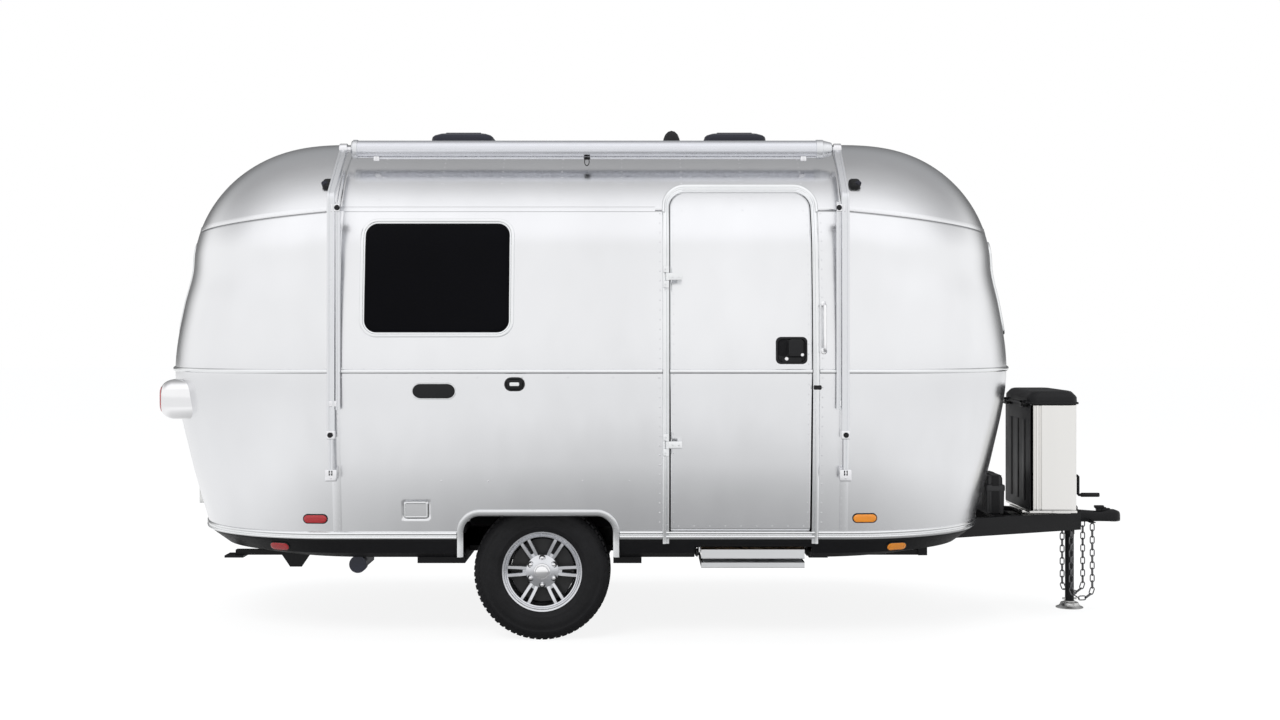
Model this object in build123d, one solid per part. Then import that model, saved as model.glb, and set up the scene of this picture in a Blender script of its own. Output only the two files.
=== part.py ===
from build123d import *
import os
from math import asin, cos, pi, radians, sin

# Travel caravan with a riveted aluminium shell. Millimetres, X forward to the
# coupler, Y to the left (street side), Z up. The door is on the right, curb side.
# The origin is on the ground, in the middle of the overall length.

# Lengths along the vehicle
rear_cap = 1063.0          # rear tip of the skin to the rear rivet seam, at the belt
side_length = 2585.0       # between the two vertical rivet seams
front_cap = 1032.0         # front rivet seam to the front tip, at the belt
rail_proud = 12.0          # how far the bright rails stand out of the skin
gas_clear = 111.0          # front tip of the skin to the gas cover
gas_length = 267.0
jack_clear = 34.0          # gas cover to the jack's axis
nose_clear = 42.0          # jack's axis to the nose of the A-frame
coupler_length = 250.0
tongue_reach = gas_clear + gas_length + jack_clear + nose_clear + coupler_length
overall_length = rail_proud + rear_cap + side_length + front_cap + tongue_reach
rear_x = -overall_length / 2 + rail_proud
seam_rear = rear_x + rear_cap
seam_front = seam_rear + side_length
front_x = seam_front + front_cap
coupler_tip = front_x + tongue_reach
gas_rear = front_x + gas_clear
gas_front = gas_rear + gas_length
jack_x = gas_front + jack_clear
nose_x = jack_x + nose_clear

# Heights above the ground
floor_z = 560.0            # underside of the shell, top of the belly
foot_z = 533.0             # lower edge of the base rail
belt_z = 1393.0
shoulder_z = 1923.0        # where the dome starts
crown_z = 2645.0
dome_seam_z = 2220.0       # seam between wall and roof, along the side
dome_seam_drop = 105.0     # how much lower that seam is at the two tips

# Body sections below the dome: height, half width, rear reach, front reach
body_sections = (
    (foot_z, 1075.0, rear_cap - 187, front_cap - 182),
    (923.0, 1120.0, rear_cap - 81, front_cap - 78),
    (belt_z, 1150.0, rear_cap, front_cap),
    (1743.0, 1133.0, rear_cap - 52, front_cap - 45),
    (shoulder_z, 1112.0, rear_cap - 97, front_cap - 84),
)
crown_half_width = 170.0
crown_reach = 225.0
dome_angles = (18, 36, 54, 72, 90)
corner_share = 0.74        # corner radius over half width
end_share = 1.65           # end radius over half width
wall = 45.0

# Floor and belly
deck_thickness = 38.0
belly_z = 430.0
belly_gap = 0.3
skirt_z = 398.0            # two lower boxes under the belly, before and behind the wheels
skirt_length = 145.0
belly_marker_z = 485.0

# Wheels and axle
axle_x = seam_rear + 1040
tyre_radius = 354.0
tyre_width = 222.0
wheel_y = 905.0
rim_seat_r = 190.0
rim_flange_r = 208.0
hub_r = 42.0
arch_centre = axle_x - 15
arch_width = 834.0
arch_top = 686.0
arch_foot = 439.0
arch_trim_width = 33.0
arch_corner = 120.0
trim_proud = 9.0
well_clear = 46.0          # tyre to wheel box
well_inner_y = 750.0
box_sheet = 5.0
axle_tube = 76.0
arm_reach = 165.0
stub_r = 20.0
running_gap = 0.05

# Entry door
door_front = seam_front - 126
door_rear = door_front - 799
door_top = 2351.0
door_foot = 511.0
frame_width = 36.0
frame_proud = 14.0
frame_corner = 117.0
drip_proud = 22.0
drip_z = 2202.0
door_gap = 3.0
door_skin = 5.0
latch_room = 26.0
sill_z = 573.0
hinge_heights = (1022.0, 1873.0)
hinge_length = 115.0
hinge_x = door_rear + 25
hinge_y = -body_sections[2][1] - 34
hinge_r = 9.0
hinge_pin_r = 4.0

# Windows: name, centre along, centre up, width, height
side_window = (seam_rear + 513, 1869.0, 785.0, 606.0)
kitchen_window = (seam_front - 632, 1869.0, 785.0, 606.0)
end_window_width = 760.0
end_window_height = 520.0
end_window_z = 1835.0
window_band = 24.0
window_corner = 86.0
window_proud = 10.0
glass_set = 4.0
glass_thickness = 6.0

# Awning
roller_y, roller_z, roller_r = -822.0, 2556.0, 50.0
arm_xs = (seam_rear - 16, seam_front)
roller_rear, roller_front = arm_xs[0] + 41, arm_xs[1] - 25
arm_y = hinge_y + 6
arm_bend_z = 2290.0
arm_tube = (38.0, 26.0)
arm_foot_z = 1065.0
bracket_z = 868.0

# Tongue
frame_rail = (50.0, 100.0)     # width, height of the A-frame rails
frame_top = 559.5
frame_half_angle = 25.0
frame_back = seam_front + 288
battery = (front_x + 4, 112.0, 340.0, 224.0)   # front face x, length, width, height
gas_half_width = 305.0
gas_foot = frame_top + 30.5
gas_top = gas_foot + 597
lid_height = 75.0
lid_top = gas_top + lid_height
lid_gap = 0.3
lid_hinge_x, lid_hinge_z = gas_rear - 22, gas_top - 12
lid_barrel_r, lid_pin_r = 8.0, 4.0
lid_hinge_y = 200.0        # each of the two hinges, from the centre plane
jack_tube_r = 28.5
jack_leg_r = 25.5
jack_foot_r = 78.0
jack_tube_foot = 425.0
jack_head_z = frame_top + 240.5
jack_travel = 250.0
socket_r = 25.5
socket_depth = 32.0
coupler_low, coupler_high = frame_top - 59.5, frame_top + 6.5

# Safety chains: link outline, bar and the path of the hanging loop
link_half_length, link_half_width = 25.0, 15.0
link_bar = 7.0
link_corner = 9.0
link_seat = 0.4            # how far neighbouring links are fused into each other
chain_y = 100.0
chain_loop_r = 60.0
chain_rear_x = nose_x - 58
links_per_chain = 24

# Step under the door
step_rear, step_front = door_rear + 201, door_front - 66
step_pivot = (-860.0, belly_z + 20)
step_link = 190.0
step_stow_angle = -15.0
step_upper = (426.0, 477.0)
step_lower = (379.0, 410.0)
step_edge_y = -1030.0
step_depth = 240.0
arm_plate = 8.0
step_gap = 6.0
pin_r = 6.0

# Stabilisers: name, pivot x, foot x, side
leg_z = belly_z - 18
leg_y = 640.0
front_pivot_x = seam_front + 478
front_foot_x = front_pivot_x - 563
rear_pivot_x = seam_rear - 67
rear_foot_x = rear_pivot_x - 560
leg_section = (44.0, 34.0)
leg_pin_r = 8.0

os.makedirs("parts", exist_ok=True)
nodes = {}


def block(x0, x1, y0, y1, z0, z1):
    """A box given by its limits along X, Y and Z."""
    centre = ((x0 + x1) / 2, (y0 + y1) / 2, (z0 + z1) / 2)
    return Pos(*centre) * Box(abs(x1 - x0), abs(y1 - y0), abs(z1 - z0))


def rod(start, end, radius):
    """A round bar between two points."""
    axis = Vector(*end) - Vector(*start)
    plane = Plane(origin=start, z_dir=axis)
    return extrude(plane * Circle(radius), amount=axis.length)


def mirrored(shape):
    """The same shape on the street side."""
    return mirror(shape, about=Plane.XZ)


def pair(shape):
    """The shape and its mirror image across the centre plane."""
    return Compound(children=[*shape.solids(), *mirrored(shape).solids()])


def group(*shapes):
    """Several solids that don't touch, kept in one node."""
    return Compound(children=[s for shape in shapes for s in shape.solids()])


def panel_xz(cx, cz, width, height, radius, y0, y1):
    """A prism along Y whose outline is a rounded rectangle in X and Z."""
    plane = Plane(origin=(cx, y0, cz), x_dir=(1, 0, 0), z_dir=(0, 1, 0))
    return extrude(plane * RectangleRounded(width, height, radius), amount=y1 - y0)


def panel_yz(cy, cz, width, height, radius, x0, x1):
    """A prism along X whose outline is a rounded rectangle in Y and Z."""
    plane = Plane(origin=(x0, cy, cz), x_dir=(0, 1, 0), z_dir=(1, 0, 0))
    return extrude(plane * RectangleRounded(width, height, radius), amount=x1 - x0)


def plan_face(z, half, rear_reach, front_reach, grow=0.0, end=None):
    """A body section seen from above: two straight sides, and at each end two corner
    arcs and an end arc, all tangent. grow moves the outline outward. With end set to
    front or rear, only the part beyond that end's seam."""
    corner, tip_radius = corner_share * half, end_share * half
    lean = asin((half - corner) / (tip_radius - corner))
    edges, side_points = [], {}
    for name, sign, seam, reach in (
        ("front", 1, seam_front, front_reach),
        ("rear", -1, seam_rear, rear_reach),
    ):
        if end not in (None, name):
            other = seam_front if name == "rear" else seam_rear
            side_points[name] = other
            edges.append(Line((other, -half - grow, z), (other, half + grow, z)))
            continue
        tip_centre = seam + sign * (reach - tip_radius)
        corner_centre = tip_centre + sign * (tip_radius - corner) * cos(lean)
        middle = (lean + pi / 2) / 2
        corner_r, tip_r = corner + grow, tip_radius + grow
        tip = (tip_centre + sign * tip_r, 0, z)
        join_x, join_y = tip_centre + sign * tip_r * cos(lean), tip_r * sin(lean)
        bend_x = corner_centre + sign * corner_r * cos(middle)
        bend_y = half - corner + corner_r * sin(middle)
        edges.append(ThreePointArc((join_x, -join_y, z), tip, (join_x, join_y, z)))
        for side in (-1, 1):
            edges.append(ThreePointArc((join_x, side * join_y, z), (bend_x, side * bend_y, z),
                                       (corner_centre, side * (half + grow), z)))
        side_points[name] = corner_centre
    for side in (-1, 1):
        y = side * (half + grow)
        edges.append(Line((side_points["rear"], y, z), (side_points["front"], y, z)))
    return Face(Wire(edges))


def sections(grow):
    """All body sections, walls and dome, with the surface moved outward by grow:
    height, half width, rear reach, front reach, outward offset."""
    rows = [(*row, grow) for row in body_sections]
    _, half, rear, front = body_sections[-1]
    for angle in dome_angles:
        rise, run = sin(radians(angle)), cos(radians(angle))
        rows.append((
            shoulder_z + (crown_z + grow - shoulder_z) * rise,
            crown_half_width + (half - crown_half_width) * run,
            crown_reach + (rear - crown_reach) * run,
            crown_reach + (front - crown_reach) * run,
            grow * run,
        ))
    return rows


def section_at(z, grow=0.0):
    """The body section at height z, between the two nearest table rows."""
    rows = sections(grow)
    for low, high in zip(rows, rows[1:]):
        if z <= high[0]:
            t = (z - low[0]) / (high[0] - low[0])
            return [a + t * (b - a) for a, b in zip(low, high)][1:]
    return rows[-1][1:]


def levels(z0, z1, grow):
    """The heights from z0 to z1 at which the body's slope changes."""
    return [z0, *(row[0] for row in sections(grow) if z0 + 0.01 < row[0] < z1 - 0.01), z1]


def form(z0, z1, grow=0.0, end=None):
    """The solid body form from z0 to z1, moved outward by grow; one end cap if asked."""
    z1 = min(z1, sections(grow)[-1][0])
    faces = [plan_face(z, *section_at(z, grow), end) for z in levels(z0, z1, grow)]
    return loft(faces, ruled=True)


def middle_form(z0, z1, grow=0.0):
    """The body form between the two seams, where its profile doesn't change."""
    z1 = min(z1, sections(grow)[-1][0])
    right = []
    for z in levels(z0, z1, grow):
        half, _, _, offset = section_at(z, grow)
        right.append((half + offset, z))
    outline = right + [(-y, z) for y, z in reversed(right)]
    plane = Plane(origin=(seam_rear, 0, 0), x_dir=(0, 1, 0), z_dir=(1, 0, 0))
    return extrude(plane * make_face(Polyline(*outline, close=True)), amount=side_length)


def skin_y(z):
    """Half width of the straight side at height z."""
    return section_at(z)[0]


far = 4000.0
middles = {}


def band(outline, proud, depth=0.0):
    """The part of outline between two offsets of the straight part's skin."""
    for grow in (proud, depth):
        if grow not in middles:
            middles[grow] = middle_form(foot_z, far, grow)
    return (outline & middles[proud]) - middles[depth]


def cap_band(outline, z0, z1, end, proud, depth=0.0):
    """The part of outline between two offsets of an end cap's skin, from z0 to z1."""
    return (outline & form(z0, z1, proud, end)) - form(z0 - 1, z1 + 1, depth, end)


# Openings in the shell


def arch_outline(margin, y0, y1):
    """The wheel arch: a flat-topped opening with round upper corners."""
    width = arch_width - 2 * margin
    top = arch_top - margin
    height = 2 * (top - arch_foot)
    return panel_xz(arch_centre, arch_foot, width, height, arch_corner - margin, y0, y1)


def door_outline(margin, foot, y0, y1):
    """The door's outline, round at its two upper corners."""
    width = door_front - door_rear - 2 * margin
    centre = (door_front + door_rear) / 2
    top = door_top - margin
    tall = panel_xz(centre, (top + foot) / 2, width, top - foot, frame_corner - margin, y0, y1)
    x0, x1 = door_rear + margin, door_front - margin
    return tall + block(x0, x1, y0, y1, foot, foot + frame_corner + 1)


def window_outline(window, margin, y0, y1):
    """A side window's outline, smaller by margin all round."""
    cx, cz, width, height = window
    return panel_xz(cx, cz, width - 2 * margin, height - 2 * margin, window_corner - margin, y0, y1)


def end_window_outline(margin, x0, x1):
    """The outline of the front or rear window."""
    return panel_yz(
        0, end_window_z, end_window_width - 2 * margin, end_window_height - 2 * margin,
        window_corner - margin, x0, x1)


# Shell: a straight middle with two end caps, all open below
inner_y, outer_y = -850.0, -1400.0
arch_cut = arch_outline(arch_trim_width, inner_y, outer_y)
door_cut = door_outline(frame_width, sill_z, -700, outer_y)
middle = middle_form(floor_z, far) - middle_form(floor_z - 1, far, -wall)
middle -= arch_cut
middle -= mirrored(arch_cut)
middle -= door_cut
middle -= window_outline(side_window, window_band, inner_y, outer_y)
for window in (side_window, kitchen_window):
    middle -= mirrored(window_outline(window, window_band, inner_y, outer_y))

# Service hatches: name, centre x, centre z, width, height, side
hatch_table = (
    ("hatch_curb", seam_rear + 403, 683.0, 128.0, 88.0, -1),
    ("hatch_street", seam_rear + 443, 760.0, 560.0, 300.0, 1),
)
hatch_gap = 2.5
hatch_rebate = 16.0
for name, cx, cz, width, height, side in hatch_table:
    middle -= band(panel_xz(cx, cz, width, height, 12, side * 1000, side * 1300), 0.0, -door_skin)
    middle -= panel_xz(cx, cz, width - 2 * hatch_rebate, height - 2 * hatch_rebate, 10,
                       side * 1000, side * 1300)

# Split where the real panels meet
nodes["side_curb"] = middle & block(-far, far, -far, 0, floor_z, dome_seam_z)
nodes["side_street"] = middle & block(-far, far, 0, far, floor_z, dome_seam_z)
nodes["roof_panel"] = middle & block(-far, far, -far, far, dome_seam_z, far)
caps = (("front", seam_front, 1, front_cap), ("rear", seam_rear, -1, rear_cap))
window_low = end_window_z - end_window_height / 2 - 1
window_high = end_window_z + end_window_height / 2 + 1
frames, glass = [], []
for name, seam, sign, cap in caps:
    inner_x, outer_x = seam + sign * cap * 0.5, seam + sign * (cap + 200)
    end = form(floor_z, far, 0.0, name) - form(floor_z - 1, far, -wall, name)
    end -= end_window_outline(window_band, inner_x, outer_x)
    over = seam + 2 * sign * cap
    cut = [(seam - sign, dome_seam_z), (seam, dome_seam_z), (over, dome_seam_z - 2 * dome_seam_drop),
           (over, crown_z + 500), (seam - sign, crown_z + 500)]
    upper = extrude(Plane.XZ * make_face(Polyline(*cut, close=True)), amount=2 * far, both=True)
    nodes["dome_" + name] = end & upper
    nodes["end_" + name] = end - upper
    ring = end_window_outline(0, inner_x, outer_x) - end_window_outline(window_band, inner_x, outer_x)
    frames.append(cap_band(ring, window_low, window_high, name, window_proud))
    pane = end_window_outline(window_band, inner_x, outer_x)
    glass.append(cap_band(pane, window_low, window_high, name, -glass_set, -glass_set - glass_thickness))

# Floor deck: the inner outline at floor level, with room for the wheel boxes
well_x0 = axle_x - tyre_radius - well_clear
well_x1 = axle_x + tyre_radius + well_clear
well_top = 2 * tyre_radius + well_clear
well_outer_y = wheel_y + tyre_width / 2 + 22
z0, w0, r0, f0 = body_sections[0]
inside = plan_face(floor_z, *section_at(floor_z)[:3], -wall - belly_gap)
deck = extrude(inside, amount=deck_thickness, dir=(0, 0, 1))
well_block = block(well_x0, well_x1, well_inner_y, far, 0, well_top)
deck -= well_block
deck -= mirrored(well_block)
nodes["floor_deck"] = deck

# Belly pan: a shallow tray, rounded up at its ends: height, side inset, end inset
belly_table = ((floor_z, 0.5, 0.0), (520.0, 6.0, 10.0), (458.0, 32.0, 95.0), (belly_z, 80.0, 260.0))
belly_faces = []
for z, inset, end_inset in belly_table:
    belly_faces.append(plan_face(z, w0 - inset, r0 - end_inset, f0 - end_inset))
belly_form = loft(belly_faces, ruled=True)
belly_wall = 28.0
hollow_faces = []
for z, inset, end_inset in belly_table:
    level = max(z, belly_z + belly_wall)
    if z > belly_z:
        hollow_faces.append(plan_face(level, w0 - inset - belly_wall, r0 - end_inset - belly_wall,
                                      f0 - end_inset - belly_wall))
belly_hollow = loft(hollow_faces, ruled=True)
belly = belly_form - belly_hollow
arch_rear = arch_centre - arch_width / 2 + arch_trim_width
arch_front = arch_centre + arch_width / 2 - arch_trim_width
for side in (-1, 1):
    belly -= block(arch_rear, arch_front, side * (well_inner_y - 2), side * far, 0, floor_z + 1)

# A-frame of the chassis: two box rails that meet at the coupler
lean_in = radians(frame_half_angle)
rail_w, rail_h = frame_rail
frame_low = frame_top - rail_h
rail_run = nose_x - frame_back
nose_y = 62.0
back_y = nose_y + rail_run * sin(lean_in) / cos(lean_in)


def a_rail(extra=0.0):
    """One A-frame rail on the curb side, grown by extra for its notch."""
    half = rail_w / 2 / cos(lean_in) + extra
    outline = [(frame_back - extra, -back_y - half), (nose_x, -nose_y - half),
               (nose_x, -nose_y + half), (frame_back - extra, -back_y + half)]
    face = make_face(Polyline(*outline, close=True))
    return Pos(0, 0, frame_low - extra) * extrude(face, amount=rail_h + extra)


rails = a_rail() + mirrored(a_rail())
cross_x = gas_rear - 40
cross_half = nose_y + (nose_x - cross_x) * sin(lean_in) / cos(lean_in)
cross = block(cross_x, cross_x + 50, -cross_half + 10, cross_half - 10, frame_low + 20, frame_top - 20)
back_cross = block(frame_back, frame_back + 60, -back_y + 10, back_y - 10, frame_low, frame_top)
jack_plate = block(gas_front + 2, jack_x + 40, -90, 90, frame_top, frame_top + 12)
battery_front, battery_length, battery_width, battery_height = battery
battery_mid = battery_front - battery_length / 2
battery_half = nose_y + (nose_x - battery_mid) * sin(lean_in) / cos(lean_in)
battery_bar = block(battery_mid - 30, battery_mid + 30, -battery_half, battery_half, frame_top - 20, frame_top)
chassis = rails + cross + back_cross + jack_plate + battery_bar
chassis -= rod((jack_x, 0, frame_low - 50), (jack_x, 0, frame_top + 50), jack_tube_r)
nodes["chassis_frame"] = chassis
belly -= a_rail()
belly -= mirrored(a_rail())
recess_half = 2 * (step_gap + arm_plate) + step_gap
belly -= block(step_rear - recess_half, step_front + recess_half, -far, step_edge_y + 410, 0, belly_z + 62)
for x0, x1 in ((arch_front - 1, arch_front + skirt_length), (arch_rear - skirt_length - 100, arch_rear + 1)):
    belly += block(x0, x1, -w0 + 82, w0 - 82, skirt_z, belly_z + 1)
nodes["belly_pan"] = belly

# Bright rails round the base and the belt, cut away at the door's frame
door_zone = block(door_rear, door_front, -far, 0, 0, far)
rail_height = 40.0
base_rail = form(foot_z, foot_z + rail_height, rail_proud) - form(foot_z, foot_z + rail_height)
base_rail -= door_zone
base_rail -= arch_outline(0, inner_y, outer_y)
base_rail -= mirrored(arch_outline(0, inner_y, outer_y))
base_rail -= a_rail(1.0)
base_rail -= mirrored(a_rail(1.0))
nodes["base_rail"] = base_rail
belt_half = 12.0
belt_ring = form(belt_z - belt_half, belt_z + belt_half, rail_proud)
belt_ring -= form(belt_z - belt_half, belt_z + belt_half)
nodes["belt_rail"] = belt_ring - door_zone

# Wheel boxes, open below and towards the arch
box_top = well_top - 4
outer_box = block(well_x0 + 1, well_x1 - 1, well_inner_y + 1, 1036, floor_z, box_top)
inner_box = block(well_x0 + 1 + box_sheet, well_x1 - 1 - box_sheet, well_inner_y + 1 + box_sheet,
                  far, 0, box_top - box_sheet)
wheel_box = (outer_box - inner_box) & middle_form(foot_z, far, -wall)
nodes["wheel_boxes"] = pair(wheel_box)

# Arch trims
arch_ring = arch_outline(0, inner_y, outer_y) - arch_outline(arch_trim_width, inner_y, outer_y)
arch_ring = arch_ring & block(-far, far, -far, far, arch_foot, far)
trim = band(arch_ring, trim_proud)
low_trim = arch_ring & block(-far, far, -1086, -1077, arch_foot, foot_z)
trim = trim + low_trim
nodes["arch_trims"] = pair(trim)

# Windows: frames and glass
for window, sides in ((side_window, (1, -1)), (kitchen_window, (1,))):
    pane = window_outline(window, window_band, inner_y, outer_y)
    frame_part = band(window_outline(window, 0, inner_y, outer_y) - pane, window_proud)
    pane_part = band(pane, -glass_set, -glass_set - glass_thickness)
    for side in sides:
        frames.append(frame_part if side < 0 else mirrored(frame_part))
        glass.append(pane_part if side < 0 else mirrored(pane_part))
nodes["window_frames"] = group(*frames)
nodes["window_glass"] = group(*glass)

# Door frame, with a heavier drip cap over its top
ring = door_outline(0, door_foot, inner_y, outer_y) - door_cut
upper_ring = ring & block(-far, far, -far, 0, foot_z, far)
door_frame = band(upper_ring, frame_proud)
door_frame += band(ring & block(-far, far, -far, 0, drip_z, far), drip_proud)
low_frame = ring & block(-far, far, -w0 - frame_proud, -w0 - 1, door_foot, foot_z + 2)
door_frame += low_frame

# Door: an outer skin over a narrower core, so that the core clears the jamb
open_margin = frame_width + door_gap
skin_part = band(door_outline(open_margin, sill_z + door_gap, -700, outer_y), 0.0, -door_skin)
core_outline = door_outline(frame_width + 12, floor_z + deck_thickness + 8, -700, outer_y)
core_outline = core_outline & block(-far, door_front - frame_width - latch_room, -far, 0, 0, far)
core = band(core_outline, -door_skin, -wall)
door = skin_part + core
door_belt = belt_ring & block(door_rear + open_margin, door_front - open_margin, -far, 0, 0, far)
door = door + door_belt

# Hinges: leaves on frame and door, with a pin that stays with the frame
for z in hinge_heights:
    wall_y = -skin_y(z)
    lo, hi = z - hinge_length / 2, z + hinge_length / 2
    third = hinge_length / 3
    for k, owner in enumerate(("frame", "door", "frame")):
        a, b = lo + k * third, lo + (k + 1) * third
        gap = 0.5
        barrel = rod((hinge_x, hinge_y, a + gap), (hinge_x, hinge_y, b - gap), hinge_r)
        if owner == "frame":
            leaf = block(door_rear + 4, hinge_x, hinge_y - 4, hinge_y + 4, a + gap, b - gap)
            foot = block(door_rear + 4, door_rear + 12, hinge_y, wall_y - 2, a + gap, b - gap)
            door_frame += barrel + leaf + (foot - middles[0.0])
        else:
            barrel -= rod((hinge_x, hinge_y, a - 5), (hinge_x, hinge_y, b + 5), hinge_pin_r + running_gap)
            leaf = block(hinge_x, 136, hinge_y - 4, hinge_y + 4, a + gap, b - gap)
            leaf -= rod((hinge_x, hinge_y, a - 5), (hinge_x, hinge_y, b + 5), hinge_pin_r + running_gap)
            foot = block(128, 136, hinge_y, wall_y + 3, a + gap, b - gap)
            door += barrel + leaf + foot
    door_frame += rod((hinge_x, hinge_y, lo + 1), (hinge_x, hinge_y, hi - 1), hinge_pin_r)
nodes["door_frame"] = door_frame
nodes["door_panel"] = door

# Door handle: a plate with a paddle
handle_z = 1499.0
handle_x0, handle_x1 = door_front - 224, door_front - 64
plate_y = -skin_y(handle_z)
plate = panel_xz((handle_x0 + handle_x1) / 2, handle_z, 160, 138, 24, plate_y - 26, plate_y + 30) - middles[0.0]
nodes["door_handle"] = plate

# Grab handle on the front jamb
grab_x, grab_y, grab_r = door_front + 20, hinge_y - 21, 9.0
grab_low, grab_high = 1484.0, 1745.0
grab = rod((grab_x, grab_y, grab_low), (grab_x, grab_y, grab_high), grab_r)
for z in (grab_low + 12, grab_high - 12):
    grab += rod((grab_x, grab_y, z), (grab_x, -skin_y(z) + 20, z), grab_r) - middles[0.0]
nodes["grab_handle"] = grab

# Awning: roller with end caps, and two arm pairs
roller = rod((roller_rear + 12, roller_y, roller_z), (roller_front - 50, roller_y, roller_z), roller_r)
roller += rod((roller_front - 50, roller_y, roller_z), (roller_front, roller_y, roller_z), roller_r - 8)
roller += rod((roller_rear, roller_y, roller_z), (roller_rear + 12, roller_y, roller_z), roller_r - 8)
nodes["awning_roller"] = roller

arms = []
tube_x, tube_y = arm_tube
for x, sign in ((arm_xs[0], 1), (arm_xs[1], -1)):
    outer = block(x - tube_x / 2, x + tube_x / 2, arm_y - tube_y / 2, arm_y + tube_y / 2, arm_foot_z, arm_bend_z)
    path = Line((x, arm_y, arm_bend_z - 8), (x, roller_y, roller_z))
    lean_plane = Plane(origin=path @ 0, z_dir=path % 0, x_dir=(1, 0, 0))
    upper = extrude(lean_plane * Rectangle(tube_x, tube_y), amount=path.length)
    inner = block(x - 12, x + 12, arm_y - 8, arm_y + 8, bracket_z, arm_foot_z + 5)
    foot = block(x - 30, x + 30, arm_y - 10, -skin_y(bracket_z) + 20, bracket_z - 30, bracket_z + 30)
    foot -= form(bracket_z - 40, bracket_z + 40)
    reach = roller_rear if sign > 0 else roller_front
    axle_pin = rod((x, roller_y, roller_z), (reach, roller_y, roller_z), 16)
    side_arm = block(x + sign * 24, x + sign * 46, arm_y - 10, arm_y + 10, 1200, arm_bend_z - 40)
    tie = block(x, x + sign * 35, arm_y - 8, arm_y + 8, 1210, 1250)
    tie2 = block(x, x + sign * 35, arm_y - 8, arm_y + 8, arm_bend_z - 90, arm_bend_z - 50)
    shoulder_hook = block(x - 14, x + 14, arm_y, -skin_y(1960) + 20, 1940, 1980) - form(1930, 1990)
    arms.append(outer + upper + inner + foot + axle_pin + side_arm + tie + tie2 + shoulder_hook)
nodes["awning_arms"] = group(*arms)

# Roof: two vents and a folded aerial
vents = []
for cx in (seam_rear + 536, seam_front - 499):
    base = block(cx - 180, cx + 180, -180, 180, crown_z - 60, crown_z + 18) - middles[0.0]
    lid = loft([
        Pos(cx, 0, crown_z + 18) * RectangleRounded(350, 350, 40),
        Pos(cx, 0, crown_z + 62) * RectangleRounded(330, 330, 50),
        Pos(cx, 0, crown_z + 88) * RectangleRounded(200, 200, 60),
    ])
    vents.append(base + lid)
nodes["roof_vents"] = group(*vents)

aerial_x = seam_rear + 1728
aerial = rod((aerial_x, 0, crown_z - 20), (aerial_x, 0, crown_z + 60), 52) - middles[0.0]
aerial += Pos(aerial_x, 0, crown_z + 60) * (Sphere(52) & block(-60, 60, -60, 60, 0, 60))
aerial += block(aerial_x - 230, aerial_x, -14, 14, crown_z + 20, crown_z + 44)
nodes["roof_aerial"] = aerial

# Clearance lamps on the domes
lamp_proud = 30.0
lamp_half_length, lamp_half_height = 32.0, 26.0
lamp_z = dome_seam_z + 138
lamp_y = skin_y(lamp_z)
lamp_parts = []
for x in (seam_rear - 77, seam_front + 78):
    end = "front" if x > 0 else "rear"
    low, high = lamp_z - lamp_half_height, lamp_z + lamp_half_height
    body = block(x - lamp_half_length, x + lamp_half_length, -lamp_y - 90, -lamp_y + 70, low, high)
    lamp_parts.append(cap_band(body, low, high, end, lamp_proud))
nodes["clearance_lamps"] = group(*[pair(part) for part in lamp_parts])

# Tail lamp pods
pod_y, pod_z = 750.0, 1236.0
pod_tip = rear_x + 58
pod = panel_yz(-pod_y, pod_z, 150, 212, 70, pod_tip, pod_tip + 228) - form(pod_z - 110, pod_z + 110, 0.0, "rear")
nodes["tail_lamps"] = pair(pod)

# Side markers on shell and belly
marker_table = ((seam_rear - 113, 638.0), (seam_front + 110, 642.0))
markers = []
for x, z in marker_table:
    end = "front" if x > 0 else "rear"
    mark = cap_band(panel_xz(x, z, 128, 50, 24.5, -900, -1300), z - 26, z + 26, end, trim_proud)
    markers.append(pair(mark))
belly_proud = loft([plan_face(z, w0 - inset + trim_proud, r0 - end_inset + trim_proud, f0 - end_inset + trim_proud)
                    for z, inset, end_inset in belly_table], ruled=True)
for x in (seam_rear - 315, seam_front + 286):
    mark = panel_xz(x, belly_marker_z, 114, 52, 25.5, -600, -1300) & belly_proud
    markers.append(pair(mark - belly_form))
nodes["side_markers"] = group(*markers)

# Blank badge plate and power connector
badge = band(panel_xz(seam_rear + 500, 1293.0, 226, 84, 41.5, -900, -1300), trim_proud)
connector = band(panel_xz(seam_rear + 910, 1328.0, 104, 70, 34.5, -900, -1300), drip_proud)
nodes["side_fittings"] = group(badge, connector)

# Service hatches
for name, cx, cz, width, height, side in hatch_table:
    outline = panel_xz(cx, cz, width - 2 * hatch_gap, height - 2 * hatch_gap, 10, side * 1000, side * 1300)
    lid = band(outline, 0.0, -door_skin)
    top = cz + height / 2
    y = side * (skin_y(top) + 8)
    knuckle = rod((cx - width / 2 + 14, y, top - 4), (cx + width / 2 - 14, y, top - 4), 5)
    strap = block(cx - width / 2 + 14, cx + width / 2 - 14, side * (abs(y) - 12), y, top - 9, top - 4)
    nodes[name] = lid + knuckle + strap

# Number plate on the rear, low down: a flat pad on the curved skin, with four blind holes
plate_x = rear_x + 106
plate_z = 700.0
plate_width, plate_height = 320.0, 160.0
plate_hole_r, plate_hole_depth = 3.5, 12.0
plate_span_y, plate_span_z = 260.0, 100.0
number_plate = panel_yz(0, plate_z, plate_width, plate_height, 12, plate_x, plate_x + 200)
number_plate -= form(plate_z - plate_height, plate_z + plate_height, 0.0, "rear")
for y in (-plate_span_y / 2, plate_span_y / 2):
    for z in (plate_z - plate_span_z / 2, plate_z + plate_span_z / 2):
        number_plate -= rod((plate_x - 1, y, z), (plate_x + plate_hole_depth, y, z), plate_hole_r)
nodes["number_plate"] = number_plate

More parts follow.
